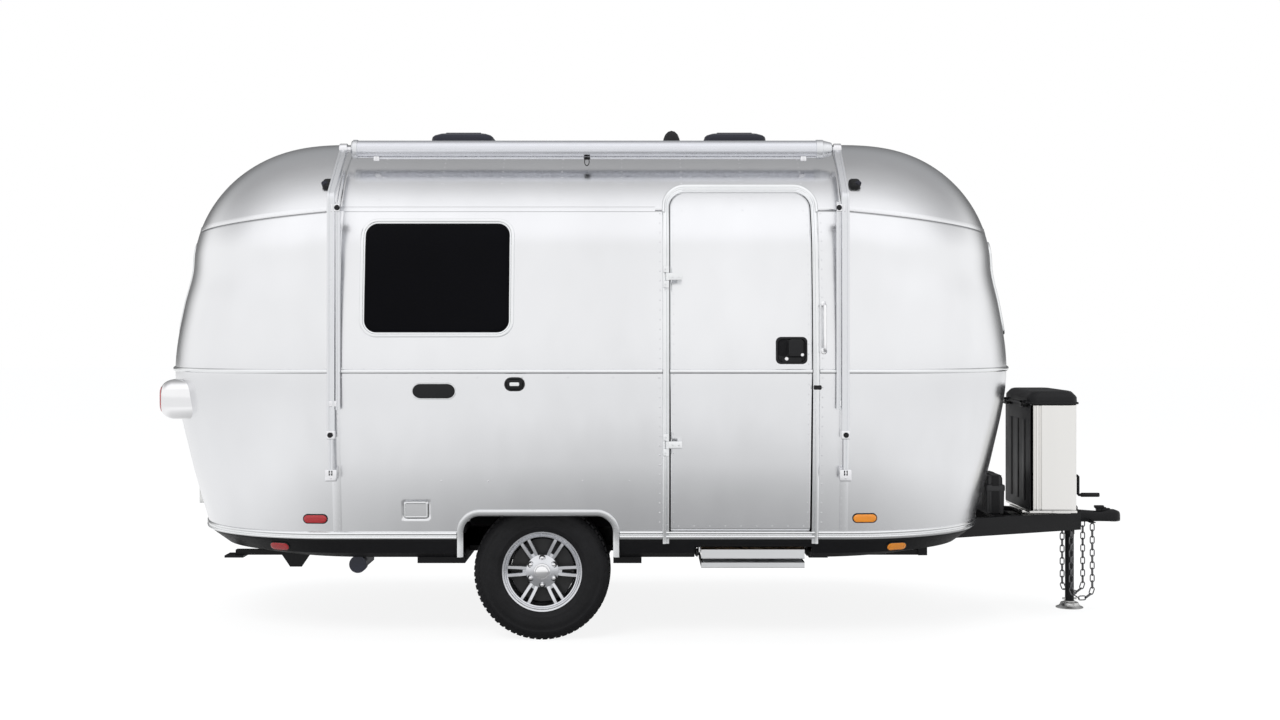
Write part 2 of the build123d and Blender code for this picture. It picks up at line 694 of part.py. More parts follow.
# Axle: torsion tube, trailing arms, stub shafts
tube_x_pos = axle_x + arm_reach
tube_z = belly_z - axle_tube / 2
tube_half = 700.0
axle = block(tube_x_pos - axle_tube / 2, tube_x_pos + axle_tube / 2, -tube_half, tube_half,
             tube_z - axle_tube / 2, tube_z + axle_tube / 2)
for side in (-1, 1):
    axle += rod((tube_x_pos, side * tube_half, tube_z), (tube_x_pos, side * 738, tube_z), 34)
    link = Polyline((tube_x_pos, tube_z - 30), (tube_x_pos, tube_z + 30), (axle_x, tyre_radius + 28),
                    (axle_x, tyre_radius - 28), close=True)
    link = extrude(Plane.XZ * make_face(link), amount=28)
    axle += Pos(0, 734 if side > 0 else -706, 0) * link
    axle += rod((axle_x, side * 706, tyre_radius), (axle_x, side * 870, tyre_radius), stub_r)
nodes["axle"] = axle


def revolve_y(points, centre):
    """A ring round the Y axis through centre, from (radius, y) points."""
    cx, cy, cz = centre
    face = make_face(Polyline(*[(cx + r, y) for r, y in points], close=True))
    axis = Axis((cx, 0, 0), (0, 1, 0))
    return Pos(0, cy, cz) * revolve(face, axis)


# Wheels, drawn for the curb side with y measured outward from the wheel plane
half_tread = tyre_width / 2
tyre_points = (
    (rim_seat_r, -78), (rim_flange_r + 6, -86), (268, -half_tread), (322, -half_tread + 6),
    (346, -88), (tyre_radius, -70), (tyre_radius, 70), (346, 88), (322, half_tread - 6),
    (268, half_tread), (rim_flange_r + 6, 86), (rim_seat_r, 78))
rim_points = (
    (rim_seat_r - 0.3, -84), (rim_flange_r, -88), (rim_flange_r, -92), (rim_seat_r - 12, -92),
    (rim_seat_r - 14, -60), (168, -30), (168, 30), (rim_seat_r - 14, 56), (rim_seat_r - 14, 92),
    (rim_flange_r, 92), (rim_flange_r, 88), (rim_seat_r - 0.3, 84), (rim_seat_r - 0.3, 60),
    (176, 34), (176, -34), (rim_seat_r - 0.3, -64))
spoke_pairs = 6
for name, side in (("curb", -1), ("street", 1)):
    centre = (axle_x, side * wheel_y, tyre_radius)
    nodes["tyre_" + name] = revolve_y([(r, y) for r, y in tyre_points], centre)
    barrel = revolve_y([(r, -side * y) for r, y in rim_points], centre)
    face_plane = Plane(origin=(axle_x, side * (wheel_y + 58), tyre_radius), x_dir=(1, 0, 0), z_dir=(0, side, 0))
    sketch = Circle(86) + Circle(rim_seat_r - 6) - Circle(rim_seat_r - 20)
    for k in range(spoke_pairs):
        turn = Rot(0, 0, k * 360 / spoke_pairs)
        for across in (-17, 17):
            sketch += turn * Pos(130, across) * Rectangle(110, 20)
    for k in range(spoke_pairs):
        turn = Rot(0, 0, k * 360 / spoke_pairs)
        sketch -= turn * Pos(69.85, 0) * Circle(11)
    spider = extrude(face_plane * sketch, amount=26)
    cap = rod((axle_x, side * (wheel_y + 50), tyre_radius), (axle_x, side * (wheel_y + 112), tyre_radius), hub_r)
    drum = revolve_y([(stub_r + running_gap, side * -120), (140, side * -120), (140, side * -60),
                      (86, side * -50), (86, side * 58), (stub_r + running_gap, side * 58)],
                     (axle_x, side * wheel_y, tyre_radius))
    closed = rod((axle_x, side * (wheel_y + 20), tyre_radius), (axle_x, side * (wheel_y + 84), tyre_radius), 60)
    nodes["rim_" + name] = barrel + spider + cap + drum + closed

# Step under the door: a fixed upper tread, and a lower one on two swinging arms
sy, sz = step_pivot
upper_low, upper_high = step_upper
lower_low, lower_high = step_lower
tread_sheet = 5.0


def tray(x0, x1, y0, y1, z0, z1):
    """A tread: a thin top with skirts all round, open below."""
    inner = block(x0 + tread_sheet, x1 - tread_sheet, y0 + tread_sheet, y1 - tread_sheet,
                  z0 - 1, z1 - tread_sheet)
    return block(x0, x1, y0, y1, z0, z1) - inner


step_frame = tray(step_rear, step_front, step_edge_y, step_edge_y + step_depth, upper_low, upper_high)
recess_top = belly_z + 62
arm_faces, cheek_faces = [], []
for sign, edge in ((-1, step_rear), (1, step_front)):
    arm_faces.append((edge + sign * step_gap, edge + sign * (step_gap + arm_plate)))
    cheek = edge + sign * (2 * step_gap + arm_plate)
    cheek_faces.append((cheek, cheek + sign * arm_plate))
for (arm_in, arm_out), (cheek_in, cheek_out), edge in zip(arm_faces, cheek_faces, (step_rear, step_front)):
    step_frame += block(cheek_in, cheek_out, sy - 60, sy + 60, upper_low, floor_z)
    seat = edge + 0.5 * (edge - cheek_in)
    step_frame += block(seat, cheek_out, sy - 60, sy + 60, upper_high, recess_top)
    step_frame += rod((cheek_in, sy, sz), (arm_in, sy, sz), pin_r)
nodes["step_frame"] = step_frame
stow = radians(step_stow_angle)
qy, qz = sy + step_link * cos(stow), sz + step_link * sin(stow)
step_arm = []
for arm_in, arm_out in arm_faces:
    low, high = min(arm_in, arm_out), max(arm_in, arm_out)
    bar_plane = Plane(origin=(low, (sy + qy) / 2, (sz + qz) / 2), x_dir=(0, cos(stow), sin(stow)), z_dir=(1, 0, 0))
    bar = extrude(bar_plane * SlotCenterToCenter(step_link, 26), amount=high - low)
    for y, z in ((sy, sz), (qy, qz)):
        bar -= rod((low - 1, y, z), (high + 1, y, z), pin_r + running_gap)
    step_arm.append(bar)
nodes["step_arms"] = group(*step_arm)
tread_back = step_edge_y + step_depth - 20
tread = tray(step_rear, step_front, step_edge_y, tread_back, lower_low, lower_high)
for (arm_in, arm_out), edge, inward in zip(arm_faces, (step_rear, step_front), (1, -1)):
    tread += block(edge, edge + inward * 8, step_edge_y + 40, qy + 14, qz - 22, qz + 9)
    tread += rod((edge, qy, qz), (arm_out, qy, qz), pin_r)
nodes["step_tread"] = tread

# Stabiliser legs, stowed up against the belly
leg_w, leg_t = leg_section
for place, pivot_x, foot_x in (("front", front_pivot_x, front_foot_x), ("rear", rear_pivot_x, rear_foot_x)):
    sign = -1 if foot_x < pivot_x else 1
    for name, side in (("curb", -1), ("street", 1)):
        y = side * leg_y
        leg = block(pivot_x, foot_x, y - leg_w / 2, y + leg_w / 2, leg_z - leg_t / 2, leg_z + leg_t / 2 - 6)
        leg += rod((pivot_x, y - leg_w / 2, leg_z), (pivot_x, y + leg_w / 2, leg_z), 14)
        leg -= rod((pivot_x, y - leg_w, leg_z), (pivot_x, y + leg_w, leg_z), leg_pin_r + running_gap)
        leg += block(foot_x - 50, foot_x + 50, y - 60, y + 60, leg_z - leg_t / 2 - 10, leg_z - leg_t / 2 + 2)
        nodes["leg_" + place + "_" + name] = leg

# Underbody fittings: leg brackets, skid plates, waste outlet
fittings = []
for pivot_x in (front_pivot_x, rear_pivot_x):
    for side in (-1, 1):
        y = side * leg_y
        outside = leg_w / 2 + 12
        bracket = rod((pivot_x, y - outside, leg_z), (pivot_x, y + outside, leg_z), leg_pin_r)
        for dy in (-outside, outside - 8):
            bracket += block(pivot_x - 24, pivot_x + 24, y + dy, y + dy + 8, leg_z - 18, belly_z + 70) - belly_form
        fittings.append(bracket)
nodes["leg_brackets"] = group(*fittings)
skid_x, skid_foot_z = seam_rear - 293, 338.0
skid_face = make_face(Polyline((skid_x - 94, belly_z), (skid_x + 94, belly_z), (skid_x + 31, skid_foot_z),
                               (skid_x - 31, skid_foot_z), close=True))
skids = []
for side in (-1, 1):
    skid_plane = Plane(origin=(0, side * 700, 0), x_dir=(1, 0, 0), z_dir=(0, -1, 0))
    skids.append(extrude(skid_plane * skid_face, amount=8))
nodes["skid_plates"] = group(*skids)
outlet_x, outlet_z, outlet_r = seam_rear + 78, belly_z - 46, 45.0
outlet = rod((outlet_x, -940, outlet_z), (outlet_x, -880, outlet_z), outlet_r)
outlet += block(outlet_x - 30, outlet_x + 30, -880, -600, outlet_z - 24, belly_z)
nodes["waste_outlet"] = outlet

# Battery box
nodes["battery_box"] = block(battery_front - battery_length, battery_front, -battery_width / 2,
                             battery_width / 2, frame_top, frame_top + battery_height)

# Gas bottle cover on its tray
gas_tray = block(gas_rear - 10, gas_front, -cross_half + 60, cross_half - 60, frame_top, frame_top + 20)
tray_foot = block(gas_rear, gas_front, -gas_half_width + 10, gas_half_width - 10, frame_top + 20, gas_foot)
cover = panel_yz(0, (gas_foot + gas_top) / 2, 2 * gas_half_width, gas_top - gas_foot, 6, gas_rear, gas_front)
cover -= block(gas_rear + 6, gas_front - 6, -gas_half_width + 6, gas_half_width - 6, gas_foot - 1, gas_top + 1)
lid_low = gas_top + lid_gap
lid_centre, lid_corner = (gas_rear + gas_front) / 2, 60.0
lid_faces = []
for z, over_x, over_y in ((lid_low, 15, 15), (lid_top - 20, 5, 3), (lid_top, -35, -45)):
    outline = RectangleRounded(gas_length + 2 * over_x, 2 * (gas_half_width + over_y), lid_corner)
    lid_faces.append(Pos(lid_centre, 0, z) * outline)
lid = loft(lid_faces)
gas_box = cover + gas_tray + tray_foot
for side in (-1, 1):
    y = side * lid_hinge_y
    pin_ends = ((lid_hinge_x, y - 45, lid_hinge_z), (lid_hinge_x, y + 45, lid_hinge_z))
    gas_box += rod(*pin_ends, lid_pin_r)
    for dy in (-45, 20):
        gas_box += block(lid_hinge_x - 6, gas_rear + 1, y + dy, y + dy + 25, lid_hinge_z - 6, lid_hinge_z + 6)
    knuckle = rod((lid_hinge_x, y - 19, lid_hinge_z), (lid_hinge_x, y + 19, lid_hinge_z), lid_barrel_r)
    knuckle += block(lid_hinge_x - 8, lid_hinge_x, y - 19, y + 19, lid_hinge_z, lid_low + 20)
    knuckle += block(lid_hinge_x - 8, gas_rear, y - 19, y + 19, lid_low + 6, lid_low + 20)
    lid += knuckle - rod(*pin_ends, lid_pin_r + running_gap)
nodes["gas_cover"] = gas_box
nodes["gas_lid"] = lid

# Jack: fixed tube with its crank head, and the leg with its foot
tube = rod((jack_x, 0, jack_tube_foot), (jack_x, 0, jack_head_z), jack_tube_r)
tube -= rod((jack_x, 0, jack_tube_foot - 1), (jack_x, 0, jack_head_z - 30), jack_leg_r + running_gap)
crank = rod((jack_x, 0, jack_head_z - 40), (jack_x + 50, 0, jack_head_z - 40), 9)
crank += rod((jack_x + 50, 0, jack_head_z - 40), (jack_x + 50, -0, jack_head_z - 150), 9)
crank += rod((jack_x + 50, 0, jack_head_z - 150), (jack_x + 175, 0, jack_head_z - 150), 13.5)
nodes["jack_tube"] = tube + crank
leg_top = jack_head_z - 55 - jack_travel
leg = rod((jack_x, 0, 30), (jack_x, 0, leg_top), jack_leg_r)
foot = revolve(Plane.XZ * make_face(Polyline((0, 0), (jack_foot_r, 0), (jack_foot_r, 6), (52, 34), (0, 34), close=True)), Axis.Z)
nodes["jack_leg"] = leg + Pos(jack_x, 0, 0) * foot

# Coupler with its ball socket
cup_r = 45.0
cup_x = coupler_tip - cup_r
coupler = block(nose_x, cup_x, -cup_r, cup_r, coupler_low, coupler_high)
coupler += rod((cup_x, 0, coupler_low), (cup_x, 0, coupler_high), cup_r)
coupler += block(cup_x - 105, cup_x - 15, -16, 16, coupler_high, coupler_high + 24)
coupler -= rod((cup_x, 0, coupler_low - 1), (cup_x, 0, coupler_low + socket_depth), socket_r)
chain_front_x = chain_rear_x + 2 * chain_loop_r
for side in (-1, 1):
    coupler += block(chain_front_x - 16, chain_front_x + 16, side * cup_r, side * (chain_y + 16),
                     coupler_low, coupler_low + 6)
nodes["coupler"] = coupler

# Safety chains: each hangs in a loop from the frame's nose and from a tab on the coupler
outline_a, outline_b, outline_c = link_half_length, link_half_width, link_corner
link_outline = make_face(Polyline(
    (outline_a, outline_b - outline_c), (outline_a - outline_c, outline_b),
    (outline_c - outline_a, outline_b), (-outline_a, outline_b - outline_c),
    (-outline_a, outline_c - outline_b), (outline_c - outline_a, -outline_b),
    (outline_a - outline_c, -outline_b), (outline_a, outline_c - outline_b), close=True))
link_face = link_outline - Rectangle(2 * (link_half_length - link_bar), 2 * (link_half_width - link_bar))
link = extrude(link_face, amount=link_bar / 2, both=True)
link_pitch = 2 * (link_half_length - link_bar) + link_seat
rear_start = frame_low - link_half_length
front_end = coupler_low - link_half_length
chain_length = (links_per_chain - 1) * link_pitch
loop_z = (rear_start + front_end + pi * chain_loop_r - chain_length) / 2
chains = []
for side in (-1, 1):
    links = []
    for k in range(links_per_chain):
        along_chain = k * link_pitch
        turn = min(max((along_chain - (rear_start - loop_z)) / chain_loop_r, 0), pi)
        x = chain_rear_x + chain_loop_r * (1 - cos(turn))
        z = loop_z - chain_loop_r * sin(turn)
        if turn <= 0:
            z = rear_start - along_chain
        elif turn >= pi:
            z = front_end - (chain_length - along_chain)
        along = Vector(sin(turn), 0, -cos(turn))
        flat = Vector(0, 1, 0) if k % 2 else along.cross(Vector(0, 1, 0))
        links.append(Plane(origin=(x, side * chain_y, z), x_dir=along, z_dir=flat) * link)
    chains.append(links[0] + links[1:])
nodes["safety_chains"] = group(*chains)

for name, shape in nodes.items():
    export_step(shape, f"parts/{name}.step")
print(len(nodes), "nodes; overall length", overall_length)
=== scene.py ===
# %% [markdown]
# A riveted aluminium travel caravan, dressed for its portrait. The construction comes ready made from CAD as
# a frame of named nodes on named bodies. This script never moves that frame. It lays a smooth skin over it,
# adds rivets, trim, tread and glass, and gives every surface a finish. Each new shape is a formula on a grid,
# worked out with numpy as whole arrays.

# %% Load the frame
import math

import bmesh
import bpy
import numpy as np
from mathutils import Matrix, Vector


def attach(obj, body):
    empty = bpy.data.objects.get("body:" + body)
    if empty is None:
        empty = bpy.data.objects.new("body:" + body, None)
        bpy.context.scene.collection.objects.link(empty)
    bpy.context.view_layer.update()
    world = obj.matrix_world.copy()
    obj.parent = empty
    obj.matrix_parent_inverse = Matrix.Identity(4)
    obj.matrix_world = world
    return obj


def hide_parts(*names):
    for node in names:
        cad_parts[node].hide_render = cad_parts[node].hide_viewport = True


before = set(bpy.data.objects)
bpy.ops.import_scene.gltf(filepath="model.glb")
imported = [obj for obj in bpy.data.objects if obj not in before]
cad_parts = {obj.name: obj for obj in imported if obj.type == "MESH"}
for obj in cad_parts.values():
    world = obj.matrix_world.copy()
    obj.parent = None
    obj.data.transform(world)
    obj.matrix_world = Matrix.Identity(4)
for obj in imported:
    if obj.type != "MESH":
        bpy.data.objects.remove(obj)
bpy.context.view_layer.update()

# %% [markdown]
# The camera comes first, because it tells how fine each detail must be. The photograph is square on to the
# door side, so the camera is level and looks straight along Y. A small shift lifts the horizon as in the
# photograph, because a tilt would make the upright walls converge.

# %% Camera
PHOTO_WIDTH = 1280
FOCAL_PIXELS = 1617
HORIZON_RISE = 30
SENSOR = 36.0
CAMERA_PLACE = (-0.077, -9.35, 1.603)
camera_data = bpy.data.cameras.new("portrait")
camera_data.sensor_width = SENSOR
camera_data.lens = SENSOR * FOCAL_PIXELS / PHOTO_WIDTH
camera_data.shift_y = -HORIZON_RISE / PHOTO_WIDTH
camera = bpy.data.objects.new("portrait", camera_data)
camera.location = CAMERA_PLACE
camera.rotation_euler = (math.radians(90), 0, 0)
bpy.context.scene.collection.objects.link(camera)
bpy.context.scene.camera = camera
bpy.context.scene.view_settings.view_transform = "Standard"
print("lens", round(camera_data.lens, 2), "mm")

# %% [markdown]
# Polished metal has no colour of its own: it shows the room. So the room is a large part of this look.
# The world is a pale studio that gets darker overhead and behind, and the floor is pale too. Two soft boxes
# model the form. The floor shows almost white to the camera, yet still takes the caravan's shadow. In mirrors
# the floor carries a painted shade, darker near the caravan.

# %% Studio
def node_tree(owner):
    """An empty node tree on a material or a world, with a short way to add and to join nodes."""
    owner.use_nodes = True
    tree = owner.node_tree
    tree.nodes.clear()

    def add(kind, **values):
        node = tree.nodes.new(kind)
        for key, value in values.items():
            if key in node.inputs:
                node.inputs[key].default_value = value
            else:
                setattr(node, key, value)
        return node

    return tree, add, tree.links.new


def studio_world():
    """The room. Cameras see it white, and it lights things dimly. In mirrors it is pale round the horizon,
    bright high in front, grey overhead and dark behind, so the overhead part is a ramp over Y, blended in by
    height."""
    world = bpy.data.worlds.new("studio")
    bpy.context.scene.world = world
    tree, add, join = node_tree(world)
    direction = add("ShaderNodeTexCoord")
    split = add("ShaderNodeSeparateXYZ")
    ramp = add("ShaderNodeValToRGB")
    steps = ramp.color_ramp.elements
    steps[0].position, steps[0].color = 0.05, (0.86, 0.86, 0.86, 1)
    steps[1].position, steps[1].color = 1.0, (0.30, 0.31, 0.32, 1)
    for position, level in ((0.12, 1.0), (0.30, 1.0), (0.40, 0.90), (0.50, 0.66), (0.61, 0.50), (0.76, 0.36)):
        step = steps.new(position)
        step.color = (level, level, level * 1.01, 1)
    path = add("ShaderNodeLightPath")
    seen = add("ShaderNodeBackground", Color=(1, 1, 1, 1), Strength=1.0)
    mirrored = add("ShaderNodeBackground", Strength=1.22)
    lighting = add("ShaderNodeBackground", Color=(0.95, 0.97, 1.0, 1), Strength=0.62)
    glossy = add("ShaderNodeMixShader")
    glass = add("ShaderNodeMixShader")
    final = add("ShaderNodeMixShader")
    out = add("ShaderNodeOutputWorld")
    join(direction.outputs["Generated"], split.inputs[0])
    behind = add("ShaderNodeMapRange", interpolation_type="SMOOTHSTEP")
    for key, value in (("From Min", 0.50), ("From Max", 0.86), ("To Min", 0.90), ("To Max", 0.12)):
        behind.inputs[key].default_value = value
    across = add("ShaderNodeMapRange")
    across.inputs["From Min"].default_value = -1.0
    overhead = add("ShaderNodeMapRange", interpolation_type="SMOOTHSTEP")
    overhead.inputs["From Min"].default_value, overhead.inputs["From Max"].default_value = 0.20, 0.60
    blend = add("ShaderNodeMix", data_type="RGBA")
    join(split.outputs["Y"], across.inputs["Value"])
    join(across.outputs[0], ramp.inputs["Fac"])
    join(split.outputs["Y"], behind.inputs["Value"])
    join(split.outputs["Z"], overhead.inputs["Value"])
    join(overhead.outputs[0], blend.inputs[0])
    join(behind.outputs[0], blend.inputs[6])
    join(ramp.outputs["Color"], blend.inputs[7])
    join(blend.outputs[2], mirrored.inputs["Color"])
    join(path.outputs["Is Glossy Ray"], glossy.inputs["Fac"])
    join(lighting.outputs[0], glossy.inputs[1])
    join(mirrored.outputs[0], glossy.inputs[2])
    join(path.outputs["Is Transmission Ray"], glass.inputs["Fac"])
    join(glossy.outputs[0], glass.inputs[1])
    join(seen.outputs[0], glass.inputs[2])
    join(path.outputs["Is Camera Ray"], final.inputs["Fac"])
    join(glass.outputs[0], final.inputs[1])
    join(seen.outputs[0], final.inputs[2])
    join(final.outputs[0], out.inputs["Surface"])


def soft_box(name, place, target, size, power):
    """An area light that faces its target."""
    data = bpy.data.lights.new(name, "AREA")
    data.shape = "RECTANGLE"
    data.size, data.size_y = size
    data.energy = power
    lamp = bpy.data.objects.new(name, data)
    lamp.location = place
    lamp.visible_glossy = False
    aim = Vector(target) - Vector(place)
    lamp.rotation_euler = aim.to_track_quat("-Z", "Y").to_euler()
    bpy.context.scene.collection.objects.link(lamp)
    return lamp


def studio_floor():
    """A wide flat floor. Cameras see it near white, and the caravan's shadow stays on it. Mirrors see a
    painted
    shade on it: they see it darker near the caravan's sides, and its brightness there rises with the distance
    sqrt((1.6 x)^2 + y^2) from the middle."""
    size = 60.0
    mesh = bpy.data.meshes.new("studio_floor")
    corners = [(-size, -size, 0), (size, -size, 0), (size, size, 0), (-size, size, 0)]
    mesh.from_pydata(corners, [], [(0, 1, 2, 3)])
    floor = bpy.data.objects.new("studio_floor", mesh)
    bpy.context.scene.collection.objects.link(floor)
    material = bpy.data.materials.new("studio_floor")
    mesh.materials.append(material)
    tree, add, join = node_tree(material)
    paint = add("ShaderNodeBsdfDiffuse", Color=(0.80, 0.80, 0.80, 1))
    white = add("ShaderNodeEmission", Color=(1, 1, 1, 1))
    path = add("ShaderNodeLightPath")
    mirrored = add("ShaderNodeMath", operation="ADD")
    share = add("ShaderNodeMath", operation="MULTIPLY")
    share.inputs[1].default_value = 0.75
    place = add("ShaderNodeTexCoord")
    widen = add("ShaderNodeMapping")
    widen.inputs["Scale"].default_value = (1.6, 1, 1)
    far = add("ShaderNodeVectorMath", operation="LENGTH")
    # Painted shade: for mirrors the floor's glow is dim near the caravan and rises with distance from it.
    fade = add("ShaderNodeMapRange", interpolation_type="SMOOTHSTEP")
    for key, value in (("From Min", 1.9), ("From Max", 7.0), ("To Min", 0.20), ("To Max", 1.10)):
        fade.inputs[key].default_value = value
    strength = add("ShaderNodeMix", data_type="FLOAT")
    strength.inputs[3].default_value = 1.17
    join(place.outputs["Object"], widen.inputs["Vector"])
    join(widen.outputs[0], far.inputs[0])
    join(far.outputs["Value"], fade.inputs["Value"])
    join(path.outputs["Is Camera Ray"], strength.inputs[0])
    join(fade.outputs[0], strength.inputs[2])
    join(strength.outputs[0], white.inputs["Strength"])
    mix = add("ShaderNodeMixShader")
    out = add("ShaderNodeOutputMaterial")
    join(path.outputs["Is Glossy Ray"], mirrored.inputs[0])
    join(path.outputs["Is Camera Ray"], mirrored.inputs[1])
    join(mirrored.outputs[0], share.inputs[0])
    join(share.outputs[0], mix.inputs["Fac"])
    join(paint.outputs[0], mix.inputs[1])
    join(white.outputs[0], mix.inputs[2])
    join(mix.outputs[0], out.inputs["Surface"])
    return floor


studio_world()
soft_box("key_box", (-3.5, -6.5, 6.5), (0, 0, 1.2), (5.0, 3.0), 330)
soft_box("top_box", (0.5, 1.0, 7.5), (0, 0, 1.5), (7.0, 4.0), 260)
studio_floor()
print("studio ready")

# %% [markdown]
# Helpers for meshes. Every shape below is a grid of points, a profile carried along a path or a turned
# profile, so three small functions make the faces, and one function turns arrays into a finished piece.

# %% Mesh helpers
def grid(points, wrap_rows=False, wrap_columns=False, caps=False, keep=None):
    """Quads over an array of points with shape (rows, columns, 3). Wrapping joins the last row or column to
    the first, caps closes the first and last row with one face each, and keep is a mask of cells."""
    rows, columns = points.shape[:2]
    index = np.arange(rows * columns).reshape(rows, columns)
    if wrap_rows:
        index = np.vstack([index, index[:1]])
    if wrap_columns:
        index = np.hstack([index, index[:, :1]])
    quads = np.stack([index[:-1, :-1], index[:-1, 1:], index[1:, 1:], index[1:, :-1]], axis=-1)
    quads = quads[keep] if keep is not None else quads.reshape(-1, 4)
    faces = quads.tolist()
    if caps:
        faces += [index[0, :columns][::-1].tolist(), index[-1, :columns].tolist()]
    return points.reshape(-1, 3), faces


def joined(parts):
    """Several (points, faces) pairs as one."""
    points, faces, base = [], [], 0
    for part_points, part_faces in parts:
        points.append(part_points)
        faces += [[i + base for i in face] for face in part_faces]
        base += len(part_points)
    return np.vstack(points), faces


def unit(vectors):
    """Vectors scaled to length one."""
    return vectors / np.linalg.norm(vectors, axis=-1, keepdims=True)


def sweep(path, profile, normal, closed=False, scale=None):
    """Carries a closed profile along a path. The profile's first number goes across the path, the second
    along normal: point = path + across * (tangent x normal) + out * normal."""
    path = np.asarray(path, float)
    if closed:
        tangent = np.roll(path, -1, 0) - np.roll(path, 1, 0)
    else:
        tangent = np.gradient(path, axis=0)
    tangent = unit(tangent)
    normal = np.broadcast_to(np.asarray(normal, float), path.shape)
    normal = unit(normal - (normal * tangent).sum(1, keepdims=True) * tangent)
    across = np.cross(tangent, normal)
    profile = np.asarray(profile, float)
    sizes = np.ones(len(path)) if scale is None else np.asarray(scale, float)
    points = (path[:, None]
              + across[:, None] * profile[None, :, :1] * sizes[:, None, None]
              + normal[:, None] * profile[None, :, 1:] * sizes[:, None, None])
    return grid(points, wrap_rows=closed, wrap_columns=True, caps=not closed)


def turned(profile, origin, axis, segments=48):
    """A lathe form: each profile row is (radius, distance along axis) from origin."""
    axis = unit(np.asarray(axis, float))
    helper = np.array([0.0, 0.0, 1.0]) if abs(axis[2]) < 0.9 else np.array([1.0, 0.0, 0.0])
    first = unit(np.cross(axis, helper))
    second = np.cross(axis, first)
    angle = np.linspace(0, 2 * np.pi, segments, endpoint=False)
    ring = np.cos(angle)[:, None] * first + np.sin(angle)[:, None] * second
    profile = np.asarray(profile, float)
    points = np.asarray(origin, float) + profile[:, None, 1:] * axis + profile[:, None, :1] * ring
    return grid(points, wrap_columns=True)


def soft_block(low, high, radius, steps=4):
    """A box with round edges: point = centre + sign(n) * (half - radius) + radius * n over a sphere of
    normals n."""
    low, high = np.minimum(low, high), np.maximum(low, high)
    centre, half = (low + high) / 2, (high - low) / 2
    radius = min(radius, *(half * 0.999))
    quarter = np.linspace(0, np.pi / 2, steps + 1)
    around = np.concatenate([quarter + k * np.pi / 2 for k in range(4)])
    signs_x = np.repeat([1, -1, -1, 1], steps + 1)
    signs_y = np.repeat([1, 1, -1, -1], steps + 1)
    rise = np.concatenate([quarter - np.pi / 2, quarter])
    signs_z = np.repeat([-1, 1], steps + 1)
    normal = np.stack(np.broadcast_arrays(
        np.cos(rise)[:, None] * np.cos(around), np.cos(rise)[:, None] * np.sin(around),
        np.sin(rise)[:, None]), -1)
    sign = np.stack(np.broadcast_arrays(signs_x[None, :], signs_y[None, :], signs_z[:, None]), -1)
    points = centre + sign * (half - radius) + radius * normal
    return grid(points, wrap_columns=True, caps=True)


def rounded_outline(width, height, radius, steps=8):
    """Points of a rounded rectangle round (0, 0), anticlockwise from the right side's upper corner."""
    quarter = np.linspace(0, np.pi / 2, steps + 1)
    parts = []
    for k, (sx, sy) in enumerate(((1, 1), (-1, 1), (-1, -1), (1, -1))):
        turn = quarter + k * np.pi / 2
        parts.append(np.stack([sx * (width / 2 - radius) + radius * np.cos(turn),
                               sy * (height / 2 - radius) + radius * np.sin(turn)], 1))
    return np.vstack(parts)


def denser(path, step, closed=True):
    """The same outline with points no further apart than about step."""
    ends = np.vstack([path, path[:1]]) if closed else path
    runs = np.linalg.norm(np.diff(ends, axis=0), axis=1)
    counts = np.maximum(1, np.ceil(runs / step).astype(int))
    parts = [a + (b - a) * (np.arange(n) / n)[:, None] for a, b, n in zip(ends[:-1], ends[1:], counts)]
    if not closed:
        parts.append(ends[-1:])
    return np.vstack(parts)


def piece(name, body, shape, material, replaces=(), sharp=35, weld=True, facing=None):
    """Makes a mesh object from points and faces. Closed shapes get their normals recalculated outward; an
    open sheet is turned so that it faces along facing, a function of its face centres."""
    points, faces = shape
    mesh = bpy.data.meshes.new(name)
    mesh.from_pydata(points.tolist(), [], faces)
    if weld:
        work = bmesh.new()
        work.from_mesh(mesh)
        bmesh.ops.remove_doubles(work, verts=work.verts, dist=2e-6)
        bmesh.ops.dissolve_degenerate(work, edges=work.edges, dist=1e-7)
        if facing is None:
            bmesh.ops.recalc_face_normals(work, faces=work.faces)
        work.to_mesh(mesh)
        work.free()
    if facing is not None:
        mesh.update()
        count = len(mesh.polygons)
        centres, normals = np.empty(count * 3), np.empty(count * 3)
        mesh.polygons.foreach_get("center", centres)
        mesh.polygons.foreach_get("normal", normals)
        outward = facing(centres.reshape(-1, 3))
        if (normals.reshape(-1, 3) * outward).sum() < 0:
            mesh.flip_normals()
    mesh.shade_smooth()
    mesh.set_sharp_from_angle(angle=math.radians(sharp))
    thing = bpy.data.objects.new(name, mesh)
    bpy.context.scene.collection.objects.link(thing)
    for item in material if isinstance(material, (list, tuple)) else [material]:
        mesh.materials.append(item)
    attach(thing, body)
    if replaces:
        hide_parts(*replaces)
    return thing


def thicken(thing, thickness, lining=None):
    """Gives a sheet its wall, inward from its outer face. lining is the material slot of the inner face."""
    wall = thing.modifiers.new("wall", "SOLIDIFY")
    wall.thickness = thickness
    wall.offset = -1
    if lining is not None:
        wall.material_offset = lining
    return thing


print("mesh helpers ready")

# %% [markdown]
# Finishes come next. Each is one node recipe that reads Object coordinates, which here are metres on the
# caravan, so a scale of 40 means a pattern of about 25 mm. The recipe lays two noises over a base colour: a
# broad one for slow changes of tone and polish, and a fine one for grain. A texture image could show the
# same, but it would need unwrapping, and it would blur when the camera comes close.

